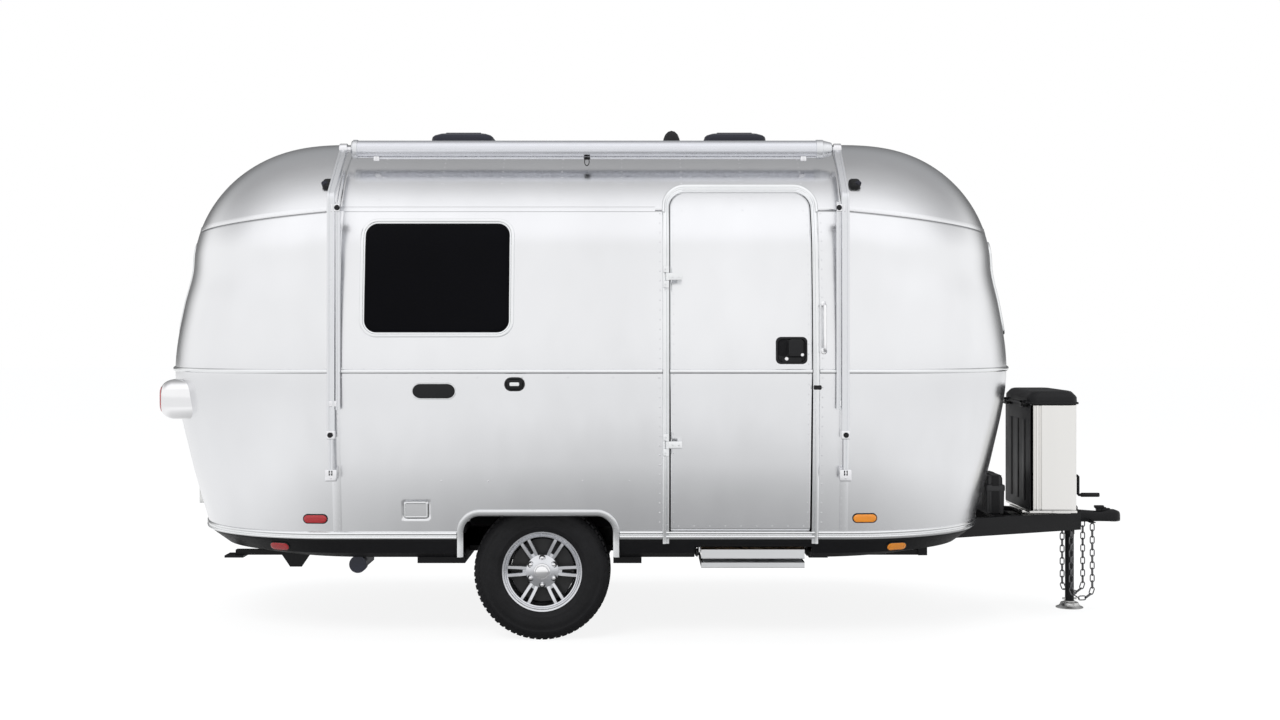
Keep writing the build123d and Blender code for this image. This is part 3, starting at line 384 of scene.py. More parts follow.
# %% Finishes
def finish_of(name, colour, rough, metal=0.0, tone=0.06, spread=0.08, broad=1.5, fine=60.0, grain=0.0002,
              wave=0.0, wave_scale=1.2, stretch=(1, 1, 1), coat=0.0, specular=0.5):
    """A Principled finish. colour varies by tone and roughness by spread over a broad noise; grain and wave
    are bump heights in metres of a fine and a slow noise."""
    material = bpy.data.materials.new(name)
    tree, add, join = node_tree(material)
    place = add("ShaderNodeTexCoord")
    mapping = add("ShaderNodeMapping")
    mapping.inputs["Scale"].default_value = stretch
    join(place.outputs["Object"], mapping.inputs["Vector"])
    slow = add("ShaderNodeTexNoise", Scale=broad, Detail=4.0, Roughness=0.6)
    quick_noise = add("ShaderNodeTexNoise", Scale=fine, Detail=3.0, Roughness=0.55)
    join(mapping.outputs[0], slow.inputs["Vector"])
    join(mapping.outputs[0], quick_noise.inputs["Vector"])
    ramp = add("ShaderNodeValToRGB")
    colour = np.array(colour, float)
    ramp.color_ramp.elements[0].position, ramp.color_ramp.elements[1].position = 0.3, 0.7
    ramp.color_ramp.elements[0].color = (*np.clip(colour * (1 - tone), 0, 1), 1)
    ramp.color_ramp.elements[1].color = (*np.clip(colour * (1 + tone), 0, 1), 1)
    join(slow.outputs["Fac"], ramp.inputs["Fac"])
    polish = add("ShaderNodeMapRange")
    polish.inputs["From Min"].default_value, polish.inputs["From Max"].default_value = 0.3, 0.7
    polish.inputs["To Min"].default_value = max(0.02, rough - spread)
    polish.inputs["To Max"].default_value = min(1.0, rough + spread)
    join(quick_noise.outputs["Fac"] if fine < 200 else slow.outputs["Fac"], polish.inputs["Value"])
    shader = add("ShaderNodeBsdfPrincipled")
    shader.inputs["Metallic"].default_value = metal
    shader.inputs["Specular IOR Level"].default_value = specular
    shader.inputs["Coat Weight"].default_value = coat
    join(ramp.outputs["Color"], shader.inputs["Base Color"])
    join(polish.outputs[0], shader.inputs["Roughness"])
    bump = add("ShaderNodeBump", Strength=1.0, Distance=grain)
    join(quick_noise.outputs["Fac"], bump.inputs["Height"])
    if wave:
        swell = add("ShaderNodeTexNoise", Scale=wave_scale, Detail=1.0, Roughness=0.4)
        join(place.outputs["Object"], swell.inputs["Vector"])
        swell_bump = add("ShaderNodeBump", Strength=1.0, Distance=wave)
        join(swell.outputs["Fac"], swell_bump.inputs["Height"])
        join(swell_bump.outputs[0], bump.inputs["Normal"])
    join(bump.outputs[0], shader.inputs["Normal"])
    out = add("ShaderNodeOutputMaterial")
    join(shader.outputs[0], out.inputs["Surface"])
    return material


shell_metal = finish_of("polished_shell", (0.775, 0.78, 0.795), 0.23, metal=1, tone=0.05, spread=0.035,
                        broad=1.1, fine=7, grain=0.0003, wave=0.005, wave_scale=1.1, stretch=(1, 1, 0.45))
trim_metal = finish_of("bright_extrusion", (0.80, 0.81, 0.82), 0.22, metal=1, tone=0.03, spread=0.06, broad=3,
                       fine=150, grain=0.00003)
rivet_metal = finish_of("rivet_head", (0.80, 0.80, 0.82), 0.22, metal=1, tone=0.05, fine=300, grain=0.00002)
tube_metal = finish_of("anodised_tube", (0.74, 0.75, 0.77), 0.32, metal=1, tone=0.03, spread=0.06, broad=2,
                       fine=180, grain=0.00004, stretch=(1, 1, 0.2))
roller_metal = finish_of("roller_sheet", (0.70, 0.71, 0.75), 0.28, metal=1, tone=0.03, broad=2, fine=120,
                         grain=0.00003, stretch=(0.15, 1, 1))
lining = finish_of("wall_lining", (0.62, 0.60, 0.57), 0.75, tone=0.04, fine=400, grain=0.0001)
black_paint = finish_of("black_frame_paint", (0.008, 0.008, 0.009), 0.40, tone=0.15, spread=0.1, fine=220,
                        grain=0.00012, specular=0.22)
belly_black = finish_of("belly_black", (0.006, 0.006, 0.007), 0.44, tone=0.2, spread=0.1, fine=90,
                        grain=0.0003, specular=0.20)
black_plastic = finish_of("black_moulding", (0.009, 0.009, 0.010), 0.48, tone=0.12, spread=0.1, fine=500,
                          grain=0.00015, specular=0.25)
grey_plastic = finish_of("battery_moulding", (0.028, 0.028, 0.030), 0.52, tone=0.12, spread=0.1, fine=400,
                         grain=0.0002)
smoked = finish_of("smoked_cover", (0.012, 0.013, 0.022), 0.16, tone=0.1, spread=0.05, fine=80, grain=0.00003,
                   specular=0.3)
window_dark = finish_of("tinted_glass", (0.004, 0.004, 0.005), 0.06, tone=0.1, spread=0.02, fine=20,
                        grain=0.000005, specular=0.02)
tyre_black = finish_of("tyre_rubber", (0.011, 0.011, 0.012), 0.62, tone=0.2, spread=0.12, broad=9, fine=160,
                       grain=0.00025, specular=0.22)
wheel_silver = finish_of("wheel_silver", (0.72, 0.73, 0.76), 0.24, metal=1, tone=0.05, spread=0.06, broad=12,
                         fine=260, grain=0.00003)
wheel_dark = finish_of("wheel_pocket", (0.02, 0.02, 0.021), 0.5, tone=0.2, fine=200, grain=0.0001)
chrome = finish_of("chrome", (0.85, 0.85, 0.86), 0.08, metal=1, tone=0.04, spread=0.03, fine=120,
                   grain=0.00001)
chain_steel = finish_of("chain_steel", (0.16, 0.16, 0.165), 0.34, metal=1, tone=0.3, spread=0.12, broad=40,
                        fine=240, grain=0.0001)
zinc = finish_of("zinc_plate", (0.62, 0.62, 0.61), 0.36, metal=1, tone=0.14, spread=0.12, broad=25, fine=240,
                 grain=0.0001)
brushed = finish_of("brushed_sheet", (0.80, 0.79, 0.77), 0.24, metal=1, tone=0.04, spread=0.08, broad=2.5,
                    fine=220, grain=0.00006, stretch=(1, 1, 0.04))
red_lens = finish_of("red_lens", (0.42, 0.006, 0.012), 0.16, tone=0.12, fine=150, grain=0.0001, coat=0.6)
amber_lens = finish_of("amber_lens", (0.92, 0.30, 0.015), 0.14, tone=0.1, fine=150, grain=0.0001, coat=0.6)
step_metal = finish_of("step_tread", (0.83, 0.84, 0.85), 0.33, metal=1, tone=0.05, spread=0.1, broad=5,
                       fine=260, grain=0.00008, stretch=(0.2, 1, 1))
floor_wood = finish_of("floor_plank", (0.32, 0.22, 0.13), 0.5, tone=0.25, broad=6, fine=60, grain=0.0002,
                       stretch=(0.2, 2, 1))
plate_paint = finish_of("blank_plate", (0.80, 0.80, 0.78), 0.35, tone=0.03, fine=200, grain=0.00005)
well_black = finish_of("wheel_well", (0.010, 0.010, 0.011), 0.8, tone=0.3, spread=0.1, fine=120, grain=0.0004,
                       specular=0.2)
outlet_blue = finish_of("waste_moulding", (0.016, 0.018, 0.035), 0.4, tone=0.2, fine=200, grain=0.0001)
print("finishes", len(bpy.data.materials))

# %% [markdown]
# The body is one loaf: straight between two seams, with a rounded cap at each end, and a dome above. Its plan
# at any height is two straight sides and, at each end, two corner arcs with one large arc between them. So a
# point on the skin needs only a height and a place along that plan. A table gives half width and reach at a
# few heights, and one smooth curve through the table gives them everywhere, because real sheet metal bends
# without kinks, and each kink would show as a line in the reflections.

# %% Body form
SEAM_REAR, SEAM_FRONT = -1.623, 0.962
FLOOR, SEAM, SEAM_DROP = 0.560, 2.220, 0.105
FOOT, BELT, CROWN = 0.533, 1.393, 2.645
SHOULDER = 1.923
CROWN_HALF, CROWN_REACH = 0.170, 0.225
CORNER, END = 0.74, 1.65
LEAN = math.asin((1 - CORNER) / (END - CORNER))
REAR_CAP, FRONT_CAP = 1.063, 1.032
BODY_TABLE = (  # height, half width, rear reach, front reach
    (0.533, 1.075, 0.876, 0.850),
    (0.923, 1.120, 0.982, 0.954),
    (1.393, 1.150, 1.063, 1.032),
    (1.743, 1.133, 1.011, 0.987),
    (1.923, 1.112, 0.966, 0.948),
)


def body_curve(samples=600):
    """Height, half width, rear and front reach at evenly spaced steps p up the wall and over the dome: a
    cubic Hermite curve through the table's rows, with slopes from their neighbours."""
    rows = [list(row) for row in BODY_TABLE]
    _, half, rear, front = BODY_TABLE[-1]
    for angle in np.radians(np.arange(9, 91, 9)):
        run = np.cos(angle)
        rows.append([SHOULDER + (CROWN - SHOULDER) * np.sin(angle), CROWN_HALF + (half - CROWN_HALF) * run,
                     CROWN_REACH + (rear - CROWN_REACH) * run, CROWN_REACH + (front - CROWN_REACH) * run])
    rows.append([CROWN, 2 * CROWN_HALF - rows[-2][1], 2 * CROWN_REACH - rows[-2][2],
                 2 * CROWN_REACH - rows[-2][3]])
    rows = np.array(rows)
    place = np.concatenate([[0], np.cumsum(np.hypot(*np.diff(rows[:, :2], axis=0).T))])
    slope = np.gradient(rows, place, axis=0)
    rows, place, slope = rows[:-1], place[:-1], slope[:-1]
    p = np.linspace(0, place[-1], samples)
    k = np.clip(np.searchsorted(place, p) - 1, 0, len(place) - 2)
    gap = (place[k + 1] - place[k])[:, None]
    t = ((p - place[k]) / gap[:, 0])[:, None]
    curve = ((2 * t**3 - 3 * t**2 + 1) * rows[k] + (t**3 - 2 * t**2 + t) * gap * slope[k]
             + (3 * t**2 - 2 * t**3) * rows[k + 1] + (t**3 - t**2) * gap * slope[k + 1])
    curve[:, 0] = np.maximum.accumulate(np.minimum(curve[:, 0], CROWN)) + np.arange(samples) * 1e-9
    return p / p[-1], curve


STEP_P, CURVE = body_curve()


def level_at(z):
    """Half width, rear reach and front reach at heights z."""
    return [np.interp(z, CURVE[:, 0], CURVE[:, k]) for k in (1, 2, 3)]


def cap_points(level, end, turns, along, out=0.0):
    """Points round one end cap. level is (z, half, reach) as columns, turns are the plan angles of the normal
    from the street side to the curb side, and along is the share of the straight run before a corner."""
    z, half, reach = (np.asarray(v, float)[:, None] for v in level)
    seam, sign = (SEAM_FRONT, 1) if end == "front" else (SEAM_REAR, -1)
    corner_r, tip_r = CORNER * half, END * half
    tip_x = reach - tip_r
    corner_x = tip_x + (tip_r - corner_r) * math.cos(LEAN)
    in_tip = np.abs(turns) <= LEAN + 1e-9
    centre_x = np.where(in_tip, tip_x, corner_x) * along
    centre_y = np.where(in_tip, 0, np.sign(turns) * (half - corner_r))
    radius = np.where(in_tip, tip_r, corner_r) + out
    x = seam + sign * (centre_x + radius * np.cos(turns))
    y = centre_y + radius * np.sin(turns)
    return np.stack([x, y, np.broadcast_to(z, x.shape)], -1)


def cap_columns(straight=5, corner=22, tip=22):
    """Plan angles and straight shares of the columns of an end cap, street side to curb side."""
    run = np.linspace(0, 1, straight, endpoint=False)
    bend = np.linspace(np.pi / 2, LEAN, corner, endpoint=False)
    nose = np.linspace(LEAN, -LEAN, tip, endpoint=False)
    turns = np.concatenate([np.full(straight, np.pi / 2), bend, nose, -bend[::-1], [-np.pi / 2] * straight])
    turns = np.insert(turns, straight + corner + tip, -LEAN)
    along = np.concatenate([run, np.ones(2 * corner + tip + 1), run[::-1]])
    return turns, along


def skin(x, z, side, out=0.0):
    """Points on the side's skin at x and z, also round the caps' corners, moved outward by out along the
    normal."""
    def reach_y(x, z):
        half, rear, front = level_at(z)
        beyond = np.maximum(x - SEAM_FRONT, SEAM_REAR - x)
        reach = np.where(x > 0, front, rear)
        corner_r = CORNER * half
        corner_x = reach - END * half + (END - CORNER) * half * math.cos(LEAN)
        past = np.clip(beyond - corner_x, 0, corner_r * 0.999)
        return half - corner_r + np.sqrt(corner_r**2 - past**2)

    x, z = np.broadcast_arrays(np.asarray(x, float), np.asarray(z, float))
    d = 0.002
    y = reach_y(x, z)
    slope_x = (reach_y(x + d, z) - reach_y(x - d, z)) / (2 * d)
    slope_z = (reach_y(x, z + d) - reach_y(x, z - d)) / (2 * d)
    normal = unit(np.stack([-slope_x, np.ones_like(y), -slope_z], -1))
    points = np.stack([x, y, z], -1) + normal * np.asarray(out, float)[..., None]
    flip = np.array([1, side, 1])
    return points * flip, normal * flip


print("half width at the belt", round(float(level_at(BELT)[0]), 3))

# %% [markdown]
# The skin is made panel by panel, as the real one is riveted together: a wall on each side, a roof sheet, and
# a lower and an upper shell at each end. Windows and doors are cut without any boolean. Each opening is a
# distance formula for a rounded rectangle. Grid points near its edge slide onto the edge, and the cells
# inside are dropped, which leaves clean round corners in an even grid.

# %% Openings in the skin
WINDOW_BAND, FRAME_WIDTH = 0.024, 0.036
DOOR_REAR, DOOR_FRONT, DOOR_TOP, DOOR_FOOT, SILL = 0.037, 0.836, 2.351, 0.511, 0.573
DOOR_CORNER, DOOR_GAP = 0.117, 0.003
SIDE_WINDOW = (-1.110, 1.869, 0.785, 0.606, 0.086)    # centre x, centre z, width, height, corner
KITCHEN_WINDOW = (0.330, 1.869, 0.785, 0.606, 0.086)
END_WINDOW = (0.0, 1.835, 0.760, 0.520, 0.086)
ARCH = (-0.598, 0.439, 0.834, 0.494, 0.120)           # round above, and mirrored below its foot
ARCH_TRIM = 0.033
HATCH_CURB = (-1.220, 0.683, 0.128, 0.088, 0.012)
HATCH_STREET = (-1.180, 0.760, 0.560, 0.300, 0.012)
DOOR = ((DOOR_REAR + DOOR_FRONT) / 2, DOOR_TOP / 2, DOOR_FRONT - DOOR_REAR, DOOR_TOP, DOOR_CORNER)


def inset(shape, margin):
    """A rounded rectangle made smaller by margin all round."""
    cx, cz, width, height, corner = shape
    return cx, cz, width - 2 * margin, height - 2 * margin, max(corner - margin, 0.002)


def distance(u, v, shape):
    """Signed distance from (u, v) to a rounded rectangle: negative inside."""
    cu, cv, width, height, corner = shape
    a = np.abs(u - cu) - width / 2 + corner
    b = np.abs(v - cv) - height / 2 + corner
    return np.hypot(np.maximum(a, 0), np.maximum(b, 0)) + np.minimum(np.maximum(a, b), 0) - corner


def slide_and_cut(u, v, shapes, cell, floor=None):
    """Slides grid points near an opening's edge onto it, and returns the moved grid with a mask of kept
    cells."""
    keep = np.ones((u.shape[0] - 1, u.shape[1] - 1), bool)
    for shape in shapes:
        gap = distance(u, v, shape)
        h = 1e-4
        slope_u = (distance(u + h, v, shape) - distance(u - h, v, shape)) / (2 * h)
        slope_v = (distance(u, v + h, shape) - distance(u, v - h, shape)) / (2 * h)
        near = (np.abs(gap) < 0.62 * cell)
        if floor is not None:
            near &= v > floor - 0.4 * cell
        u, v = u - np.where(near, gap * slope_u, 0), v - np.where(near, gap * slope_v, 0)
    for shape in shapes:
        middle_u = (u[:-1, :-1] + u[1:, 1:] + u[1:, :-1] + u[:-1, 1:]) / 4
        middle_v = (v[:-1, :-1] + v[1:, 1:] + v[1:, :-1] + v[:-1, 1:]) / 4
        inside = distance(middle_u, middle_v, shape) < 0
        if floor is not None:
            inside &= middle_v > floor
        keep &= ~inside
    return u, v, keep


door_opening = inset(DOOR, FRAME_WIDTH)
arch_opening = inset(ARCH, ARCH_TRIM)
window_openings = {-1: [inset(SIDE_WINDOW, WINDOW_BAND)],
                   1: [inset(SIDE_WINDOW, WINDOW_BAND), inset(KITCHEN_WINDOW, WINDOW_BAND)]}
print("door opening", [round(v, 3) for v in door_opening])

# %% [markdown]
# First the two straight walls. Rows go up and columns go along. The lower edge is the floor line, and the
# upper edge is the seam where the roof sheet laps over. Solidify then gives the whole wall its thickness,
# with a pale lining inside that shows when the door is open.

# %% Side walls and roof sheet
WALL = 0.045
CELL = 0.013


def spaced(low, high, step, *fixed):
    """Even steps from low to high that also hit the fixed values."""
    stops = sorted({low, high, *[v for v in fixed if low < v < high]})
    parts = [np.linspace(a, b, max(2, int(round((b - a) / step)) + 1))[:-1] for a, b in zip(stops, stops[1:])]
    return np.concatenate(parts + [[high]])


def wall_sheet(name, side, z_low, z_high, replaces, hatch):
    """One straight side wall with its openings."""
    u, v = np.meshgrid(spaced(SEAM_REAR, SEAM_FRONT, CELL), spaced(z_low, z_high, CELL, SILL))
    shapes = window_openings[side] + [arch_opening, inset(hatch, 0.0)]
    u, v, keep = slide_and_cut(u, v, shapes, CELL)
    if side < 0:
        u, v, door_keep = slide_and_cut(u, v, [door_opening], CELL, SILL)
        keep &= door_keep
    points, _ = skin(u, v, side)
    sheet = piece(name, "caravan", grid(points, keep=keep), [shell_metal, lining], replaces, weld=False,
                  facing=lambda c: np.array([0, side, 0]))
    return thicken(sheet, WALL, 1)


def roof_sheet():
    """The sheet between the two seams, over the crown: rows run from the curb seam over to the street
    seam."""
    rows = np.interp(np.linspace(np.interp(SEAM, CURVE[:, 0], STEP_P), 1, 62), STEP_P, np.arange(len(STEP_P)))
    z = np.interp(rows, np.arange(len(STEP_P)), CURVE[:, 0])
    half = np.interp(rows, np.arange(len(STEP_P)), CURVE[:, 1])
    columns = spaced(SEAM_REAR, SEAM_FRONT, CELL)
    flat = np.linspace(-CROWN_HALF, CROWN_HALF, 16)[1:-1]
    z_all = np.concatenate([z, np.full(len(flat), CROWN), z[::-1]])
    y_all = np.concatenate([-half, flat, half[::-1]])
    u, v = np.meshgrid(columns, z_all)
    low_rows = slice(0, 24)
    moved_u, moved_v, door_keep = slide_and_cut(u[low_rows], v[low_rows], [door_opening], CELL)
    y = np.broadcast_to(y_all[:, None], u.shape).copy()
    y[low_rows] = -level_at(moved_v)[0]
    u[low_rows], v[low_rows] = moved_u, moved_v
    keep = np.ones((u.shape[0] - 1, u.shape[1] - 1), bool)
    keep[:23] &= door_keep
    sheet = piece("roof_sheet", "caravan", grid(np.stack([u, y, v], -1), keep=keep), [shell_metal, lining],
                  ["roof_panel"], weld=False, facing=lambda c: np.array([0, 0, 1]))
    return thicken(sheet, WALL, 1)


wall_sheet("curb_wall", -1, FLOOR, SEAM, ["side_curb"], HATCH_CURB)
wall_sheet("street_wall", 1, FLOOR, SEAM, ["side_street"], HATCH_STREET)
roof_sheet()

# %% [markdown]
# The end caps use the plan's own columns, so that every column runs straight up through lower and upper
# shell, and the reflections run on across the seam. That seam is cut by a sloping plane: it drops towards the
# two tips. For each column, the crossing is read from the body curve by interpolation.

# %% End caps
def cap_surface(end):
    """All points of one cap on the body curve's steps, and the step at which each column meets the seam."""
    turns, along = cap_columns()
    reach = CURVE[:, 3 if end == "front" else 2]
    points = cap_points((CURVE[:, 0], CURVE[:, 1], reach), end, turns, along)
    seam, cap = (SEAM_FRONT, FRONT_CAP) if end == "front" else (SEAM_REAR, REAR_CAP)
    above = points[..., 2] - (SEAM - SEAM_DROP * np.abs(points[..., 0] - seam) / cap)
    first = np.argmax(above > 0, axis=0)
    column = np.arange(len(turns))
    low, high = above[first - 1, column], above[first, column]
    share = -low / (high - low)
    return points, first - 1 + share


def resample(points, rows):
    """Points at fractional row numbers, by linear interpolation down each column."""
    low = np.clip(np.floor(rows).astype(int), 0, len(points) - 2)
    share = (rows - low)[..., None]
    column = np.arange(points.shape[1])[None, :]
    return points[low, column] * (1 - share) + points[low + 1, column] * share


def cap_shell(end):
    """The lower and the upper shell of one end."""
    points, seam_row = cap_surface(end)
    floor_row = np.interp(FLOOR, CURVE[:, 0], np.arange(len(CURVE)))
    share = np.linspace(0, 1, 112)[:, None]
    lower = resample(points, floor_row + share * (seam_row - floor_row))
    sign = 1 if end == "front" else -1
    window = inset(END_WINDOW, WINDOW_BAND)
    y, z = lower[..., 1], lower[..., 2]
    half, rear, front = level_at(z)
    facing_out = np.abs(y) < END * half * math.sin(LEAN)
    apart = np.where(facing_out & (z > 1.4), y, 5.0)
    moved_y, moved_z, keep = slide_and_cut(apart, z, [window], 0.016)
    near = facing_out & (moved_y < 4)
    half, rear, front = level_at(moved_z)
    reach = front if end == "front" else rear
    seam = SEAM_FRONT if end == "front" else SEAM_REAR
    tip = seam + sign * (reach - END * half + np.sqrt(np.maximum((END * half)**2 - moved_y**2, 0)))
    changed = near & (np.abs(moved_y - y) + np.abs(moved_z - z) > 1e-9)
    for k, value in enumerate((tip, moved_y, moved_z)):
        lower[..., k] = np.where(changed, value, lower[..., k])
    sheet = piece(f"{end}_lower_shell", "caravan", grid(lower, keep=keep), [shell_metal, lining],
                  [f"end_{end}"], weld=False, facing=lambda c: np.array([sign, 0, 0]))
    thicken(sheet, WALL, 1)
    last = float(len(points) - 1)
    upper = resample(points, seam_row + np.linspace(0, 1, 72)[:, None] * (last - seam_row))
    shrink = np.linspace(1, 0, 9)[1:, None, None]
    pole = np.array([seam, 0, CROWN])
    crown = pole + (upper[-1] - pole) * shrink
    dome = piece(f"{end}_dome", "caravan", grid(np.concatenate([upper, crown])), [shell_metal, lining],
                 [f"dome_{end}"], facing=lambda c: np.array([sign, 0, 1]))
    thicken(dome, WALL, 1)
    return points, seam_row


cap_front, seam_row_front = cap_shell("front")
cap_rear, seam_row_rear = cap_shell("rear")
print("end caps ready")

# %% [markdown]
# Rivets hold the skin. There are over a thousand, so each is a small turned cap of a few faces, and one mesh
# holds a whole row of them. The caps stand on the skin's normal. A bump texture would be cheaper, but it
# makes no outline at the seams, and real rivet heads catch the light one by one.

# %% Rivets
RIVET_R, RIVET_H = 0.0042, 0.0019


def rivets(points, normals, radius=RIVET_R, height=RIVET_H, sides=8):
    """Domed heads at points along normals: rings of radius r * cos(a) at height h * sin(a)."""
    rise = np.radians([0, 35, 62, 84])
    turn = np.linspace(0, 2 * np.pi, sides, endpoint=False)
    ring = np.stack([np.cos(turn), np.sin(turn)], 1)
    local = np.concatenate([
        np.stack([radius * np.cos(a) * ring[:, 0], radius * np.cos(a) * ring[:, 1],
                  np.full(sides, height * np.sin(a) - 0.0004 * (a == 0))], 1) for a in rise])
    helper = np.where(np.abs(normals[:, 2:]) < 0.9, [[0.0, 0.0, 1.0]], [[1.0, 0.0, 0.0]])
    first = unit(np.cross(normals, helper))
    second = np.cross(normals, first)
    placed = (points[:, None] + local[None, :, :1] * first[:, None] + local[None, :, 1:2] * second[:, None]
              + local[None, :, 2:] * normals[:, None])
    rows, faces = len(rise), []
    for k in range(rows - 1):
        a = np.arange(sides) + k * sides
        b = (np.arange(sides) + 1) % sides + k * sides
        faces.append(np.stack([a, b, b + sides, a + sides], 1))
    quads = np.concatenate(faces)
    base = (np.arange(len(points)) * rows * sides)[:, None, None]
    all_quads = (base + quads[None]).reshape(-1, 4).tolist()
    cap = (np.arange(sides) + (rows - 1) * sides)[None, :]
    all_caps = (base[:, 0] + cap).tolist()
    return placed.reshape(-1, 3), all_quads + all_caps


def along_line(start, end, pitch, side):
    """Skin points and normals at an even pitch from start to end, both (x, z)."""
    start, end = np.asarray(start, float), np.asarray(end, float)
    count = max(2, int(round(np.linalg.norm(end - start) / pitch)) + 1)
    spots = start + (end - start) * np.linspace(0, 1, count)[:, None]
    return skin(spots[:, 0], spots[:, 1], side)


def along_path(points, pitch):
    """Points at an even pitch along a polyline of 3-D points."""
    runs = np.concatenate([[0], np.cumsum(np.linalg.norm(np.diff(points, axis=0), axis=1))])
    count = max(2, int(round(runs[-1] / pitch)) + 1)
    spots = np.linspace(0, runs[-1], count)
    return np.stack([np.interp(spots, runs, points[:, k]) for k in range(3)], 1)


def cap_normals(points, end):
    """Outward normals of points on an end cap, level and pointing away from the cap's inner axis."""
    seam = SEAM_FRONT if end == "front" else SEAM_REAR
    away = points - np.array([seam * 0.8, 0, 1.3])
    away[:, 2] *= 0.35
    return unit(away)


def seam_line(points, seam_row, offset_rows=0.0):
    """The cap's seam as 3-D points, moved up or down the body curve by offset_rows."""
    return resample(points, (seam_row + offset_rows)[None, :])[0]


def rivet_rows():
    """All rivets of the static shell, as a list of (points, normals)."""
    rows = []
    for points, seam_row, end in ((cap_front, seam_row_front, "front"), (cap_rear, seam_row_rear, "rear")):
        line = along_path(seam_line(points, seam_row, 3), 0.034)
        rows.append((line, cap_normals(line, end)))
    for side in (-1, 1):
        for x in (SEAM_REAR - 0.010, SEAM_REAR + 0.012, SEAM_FRONT - 0.012, SEAM_FRONT + 0.010):
            rows.append(along_line((x, 0.60), (x, 2.19), 0.036, side))
        rows.append(along_line((SEAM_REAR, 2.232), (-0.02 if side < 0 else SEAM_FRONT, 2.232), 0.036, side))
        belt_end = DOOR_REAR - 0.02 if side < 0 else SEAM_FRONT - 0.03
        for z, pitch in ((1.408, 0.115), (1.362, 0.230)):
            rows.append(along_line((SEAM_REAR + 0.03, z), (belt_end, z), pitch, side))
    rows.append(along_line((-1.09, 0.833), (-0.13, 0.833), 0.228, -1))
    rows.append(along_line((DOOR_REAR - 0.013, 0.62), (DOOR_REAR - 0.013, 2.20), 0.050, -1))
    rows.append(along_line((DOOR_FRONT + 0.013, 0.62), (DOOR_FRONT + 0.013, 1.46), 0.050, -1))
    rows.append(along_line((DOOR_FRONT + 0.013, 1.77), (DOOR_FRONT + 0.013, 2.20), 0.050, -1))
    for x in np.linspace(SEAM_REAR + 0.2, SEAM_FRONT - 0.2, 8):
        y = np.concatenate([-np.linspace(1.03, 0.2, 22), np.linspace(0.2, 1.03, 22)])
        z = np.interp(-np.abs(y), -CURVE[::-1, 1][::-1], CURVE[:, 0])
        spots = np.stack([np.full_like(y, x), y, z], 1)
        rows.append((spots, unit(np.stack([0 * y, y * 0.7, z - 1.6], 1))))
    return rows


rows = rivet_rows()
piece("shell_rivets", "caravan", rivets(np.vstack([p for p, _ in rows]), np.vstack([n for _, n in rows])),
      rivet_metal, weld=False, facing=lambda c: np.stack([0 * c[:, 0], c[:, 1], c[:, 2] - 1.2], 1), sharp=80)
print("shell rivets", sum(len(p) for p, _ in rows))

# %% [markdown]
# A thin lap strip lies under each row of seam rivets, where one sheet overlaps the next. Without it the
# rivets would seem stuck on. It is a flat profile of 1.5 mm carried along the seam.

# %% Lap strips
def lap_strip(line, normals, width=0.030, height=0.0013):
    """A low strip with bevelled edges along a seam."""
    half = width / 2
    profile = [(-half, -0.004), (-half, height * 0.6), (-half + 0.0015, height), (half - 0.0015, height),
               (half, height * 0.6), (half, -0.004)]
    return sweep(line, profile, normals)


strips = []
for points, seam_row, end in ((cap_front, seam_row_front, "front"), (cap_rear, seam_row_rear, "rear")):
    line = seam_line(points, seam_row, 3)
    strips.append(lap_strip(line, cap_normals(line, end)))
for side in (-1, 1):
    for x in (SEAM_REAR, SEAM_FRONT):
        z = np.linspace(0.575, 2.215, 90)
        line, normals = skin(np.full_like(z, x), z, side)
        strips.append(lap_strip(line, normals, width=0.044))
    x = np.linspace(SEAM_REAR, 0.0 if side < 0 else SEAM_FRONT, 80)
    line, normals = skin(x, np.full_like(x, 2.226), side)
    strips.append(lap_strip(line, normals))
piece("lap_strips", "caravan", joined(strips), shell_metal)
print("lap strips", len(strips))

# %% [markdown]
# Bright rails run round the belt and round the foot of the shell. Each is an extrusion with two beads and a
# dark slot between them, swept along the body's plan at its height. The path stops at the door frame and at
# the wheel arches.

# %% Rails
def plan_path(z, start_x, end_x, end):
    """From the curb side at start_x round one end cap to the street side at end_x, with level normals."""
    half, rear, front = (float(v) for v in level_at(z))
    turns, along = cap_columns(4, 40, 40)
    reach = front if end == "front" else rear
    cap = cap_points(([z], [half], [reach]), end, turns, along)[0][::-1]
    sign = 1 if end == "front" else -1
    cap_out = np.stack([sign * np.cos(turns), np.sin(turns), 0 * turns], 1)[::-1]
    seam = SEAM_FRONT if end == "front" else SEAM_REAR
    first = np.linspace(start_x, seam, 12)[:-1]
    last = np.linspace(seam, end_x, 12)[1:]
    curb = np.stack([first, np.full_like(first, -half), np.full_like(first, z)], 1)
    street = np.stack([last, np.full_like(last, half), np.full_like(last, z)], 1)
    path = np.vstack([curb, cap[:-1], street])
    out = np.vstack([np.tile([0, -1, 0], (len(curb), 1)), cap_out[:-1], np.tile([0, 1, 0], (len(street), 1))])
    return path, out


def side_path(z, start_x, end_x, side):
    """A straight run along one side."""
    x = np.linspace(start_x, end_x, 12)
    path, _ = skin(x, np.full_like(x, z), side)
    return path, np.tile([0, side, 0], (len(x), 1))


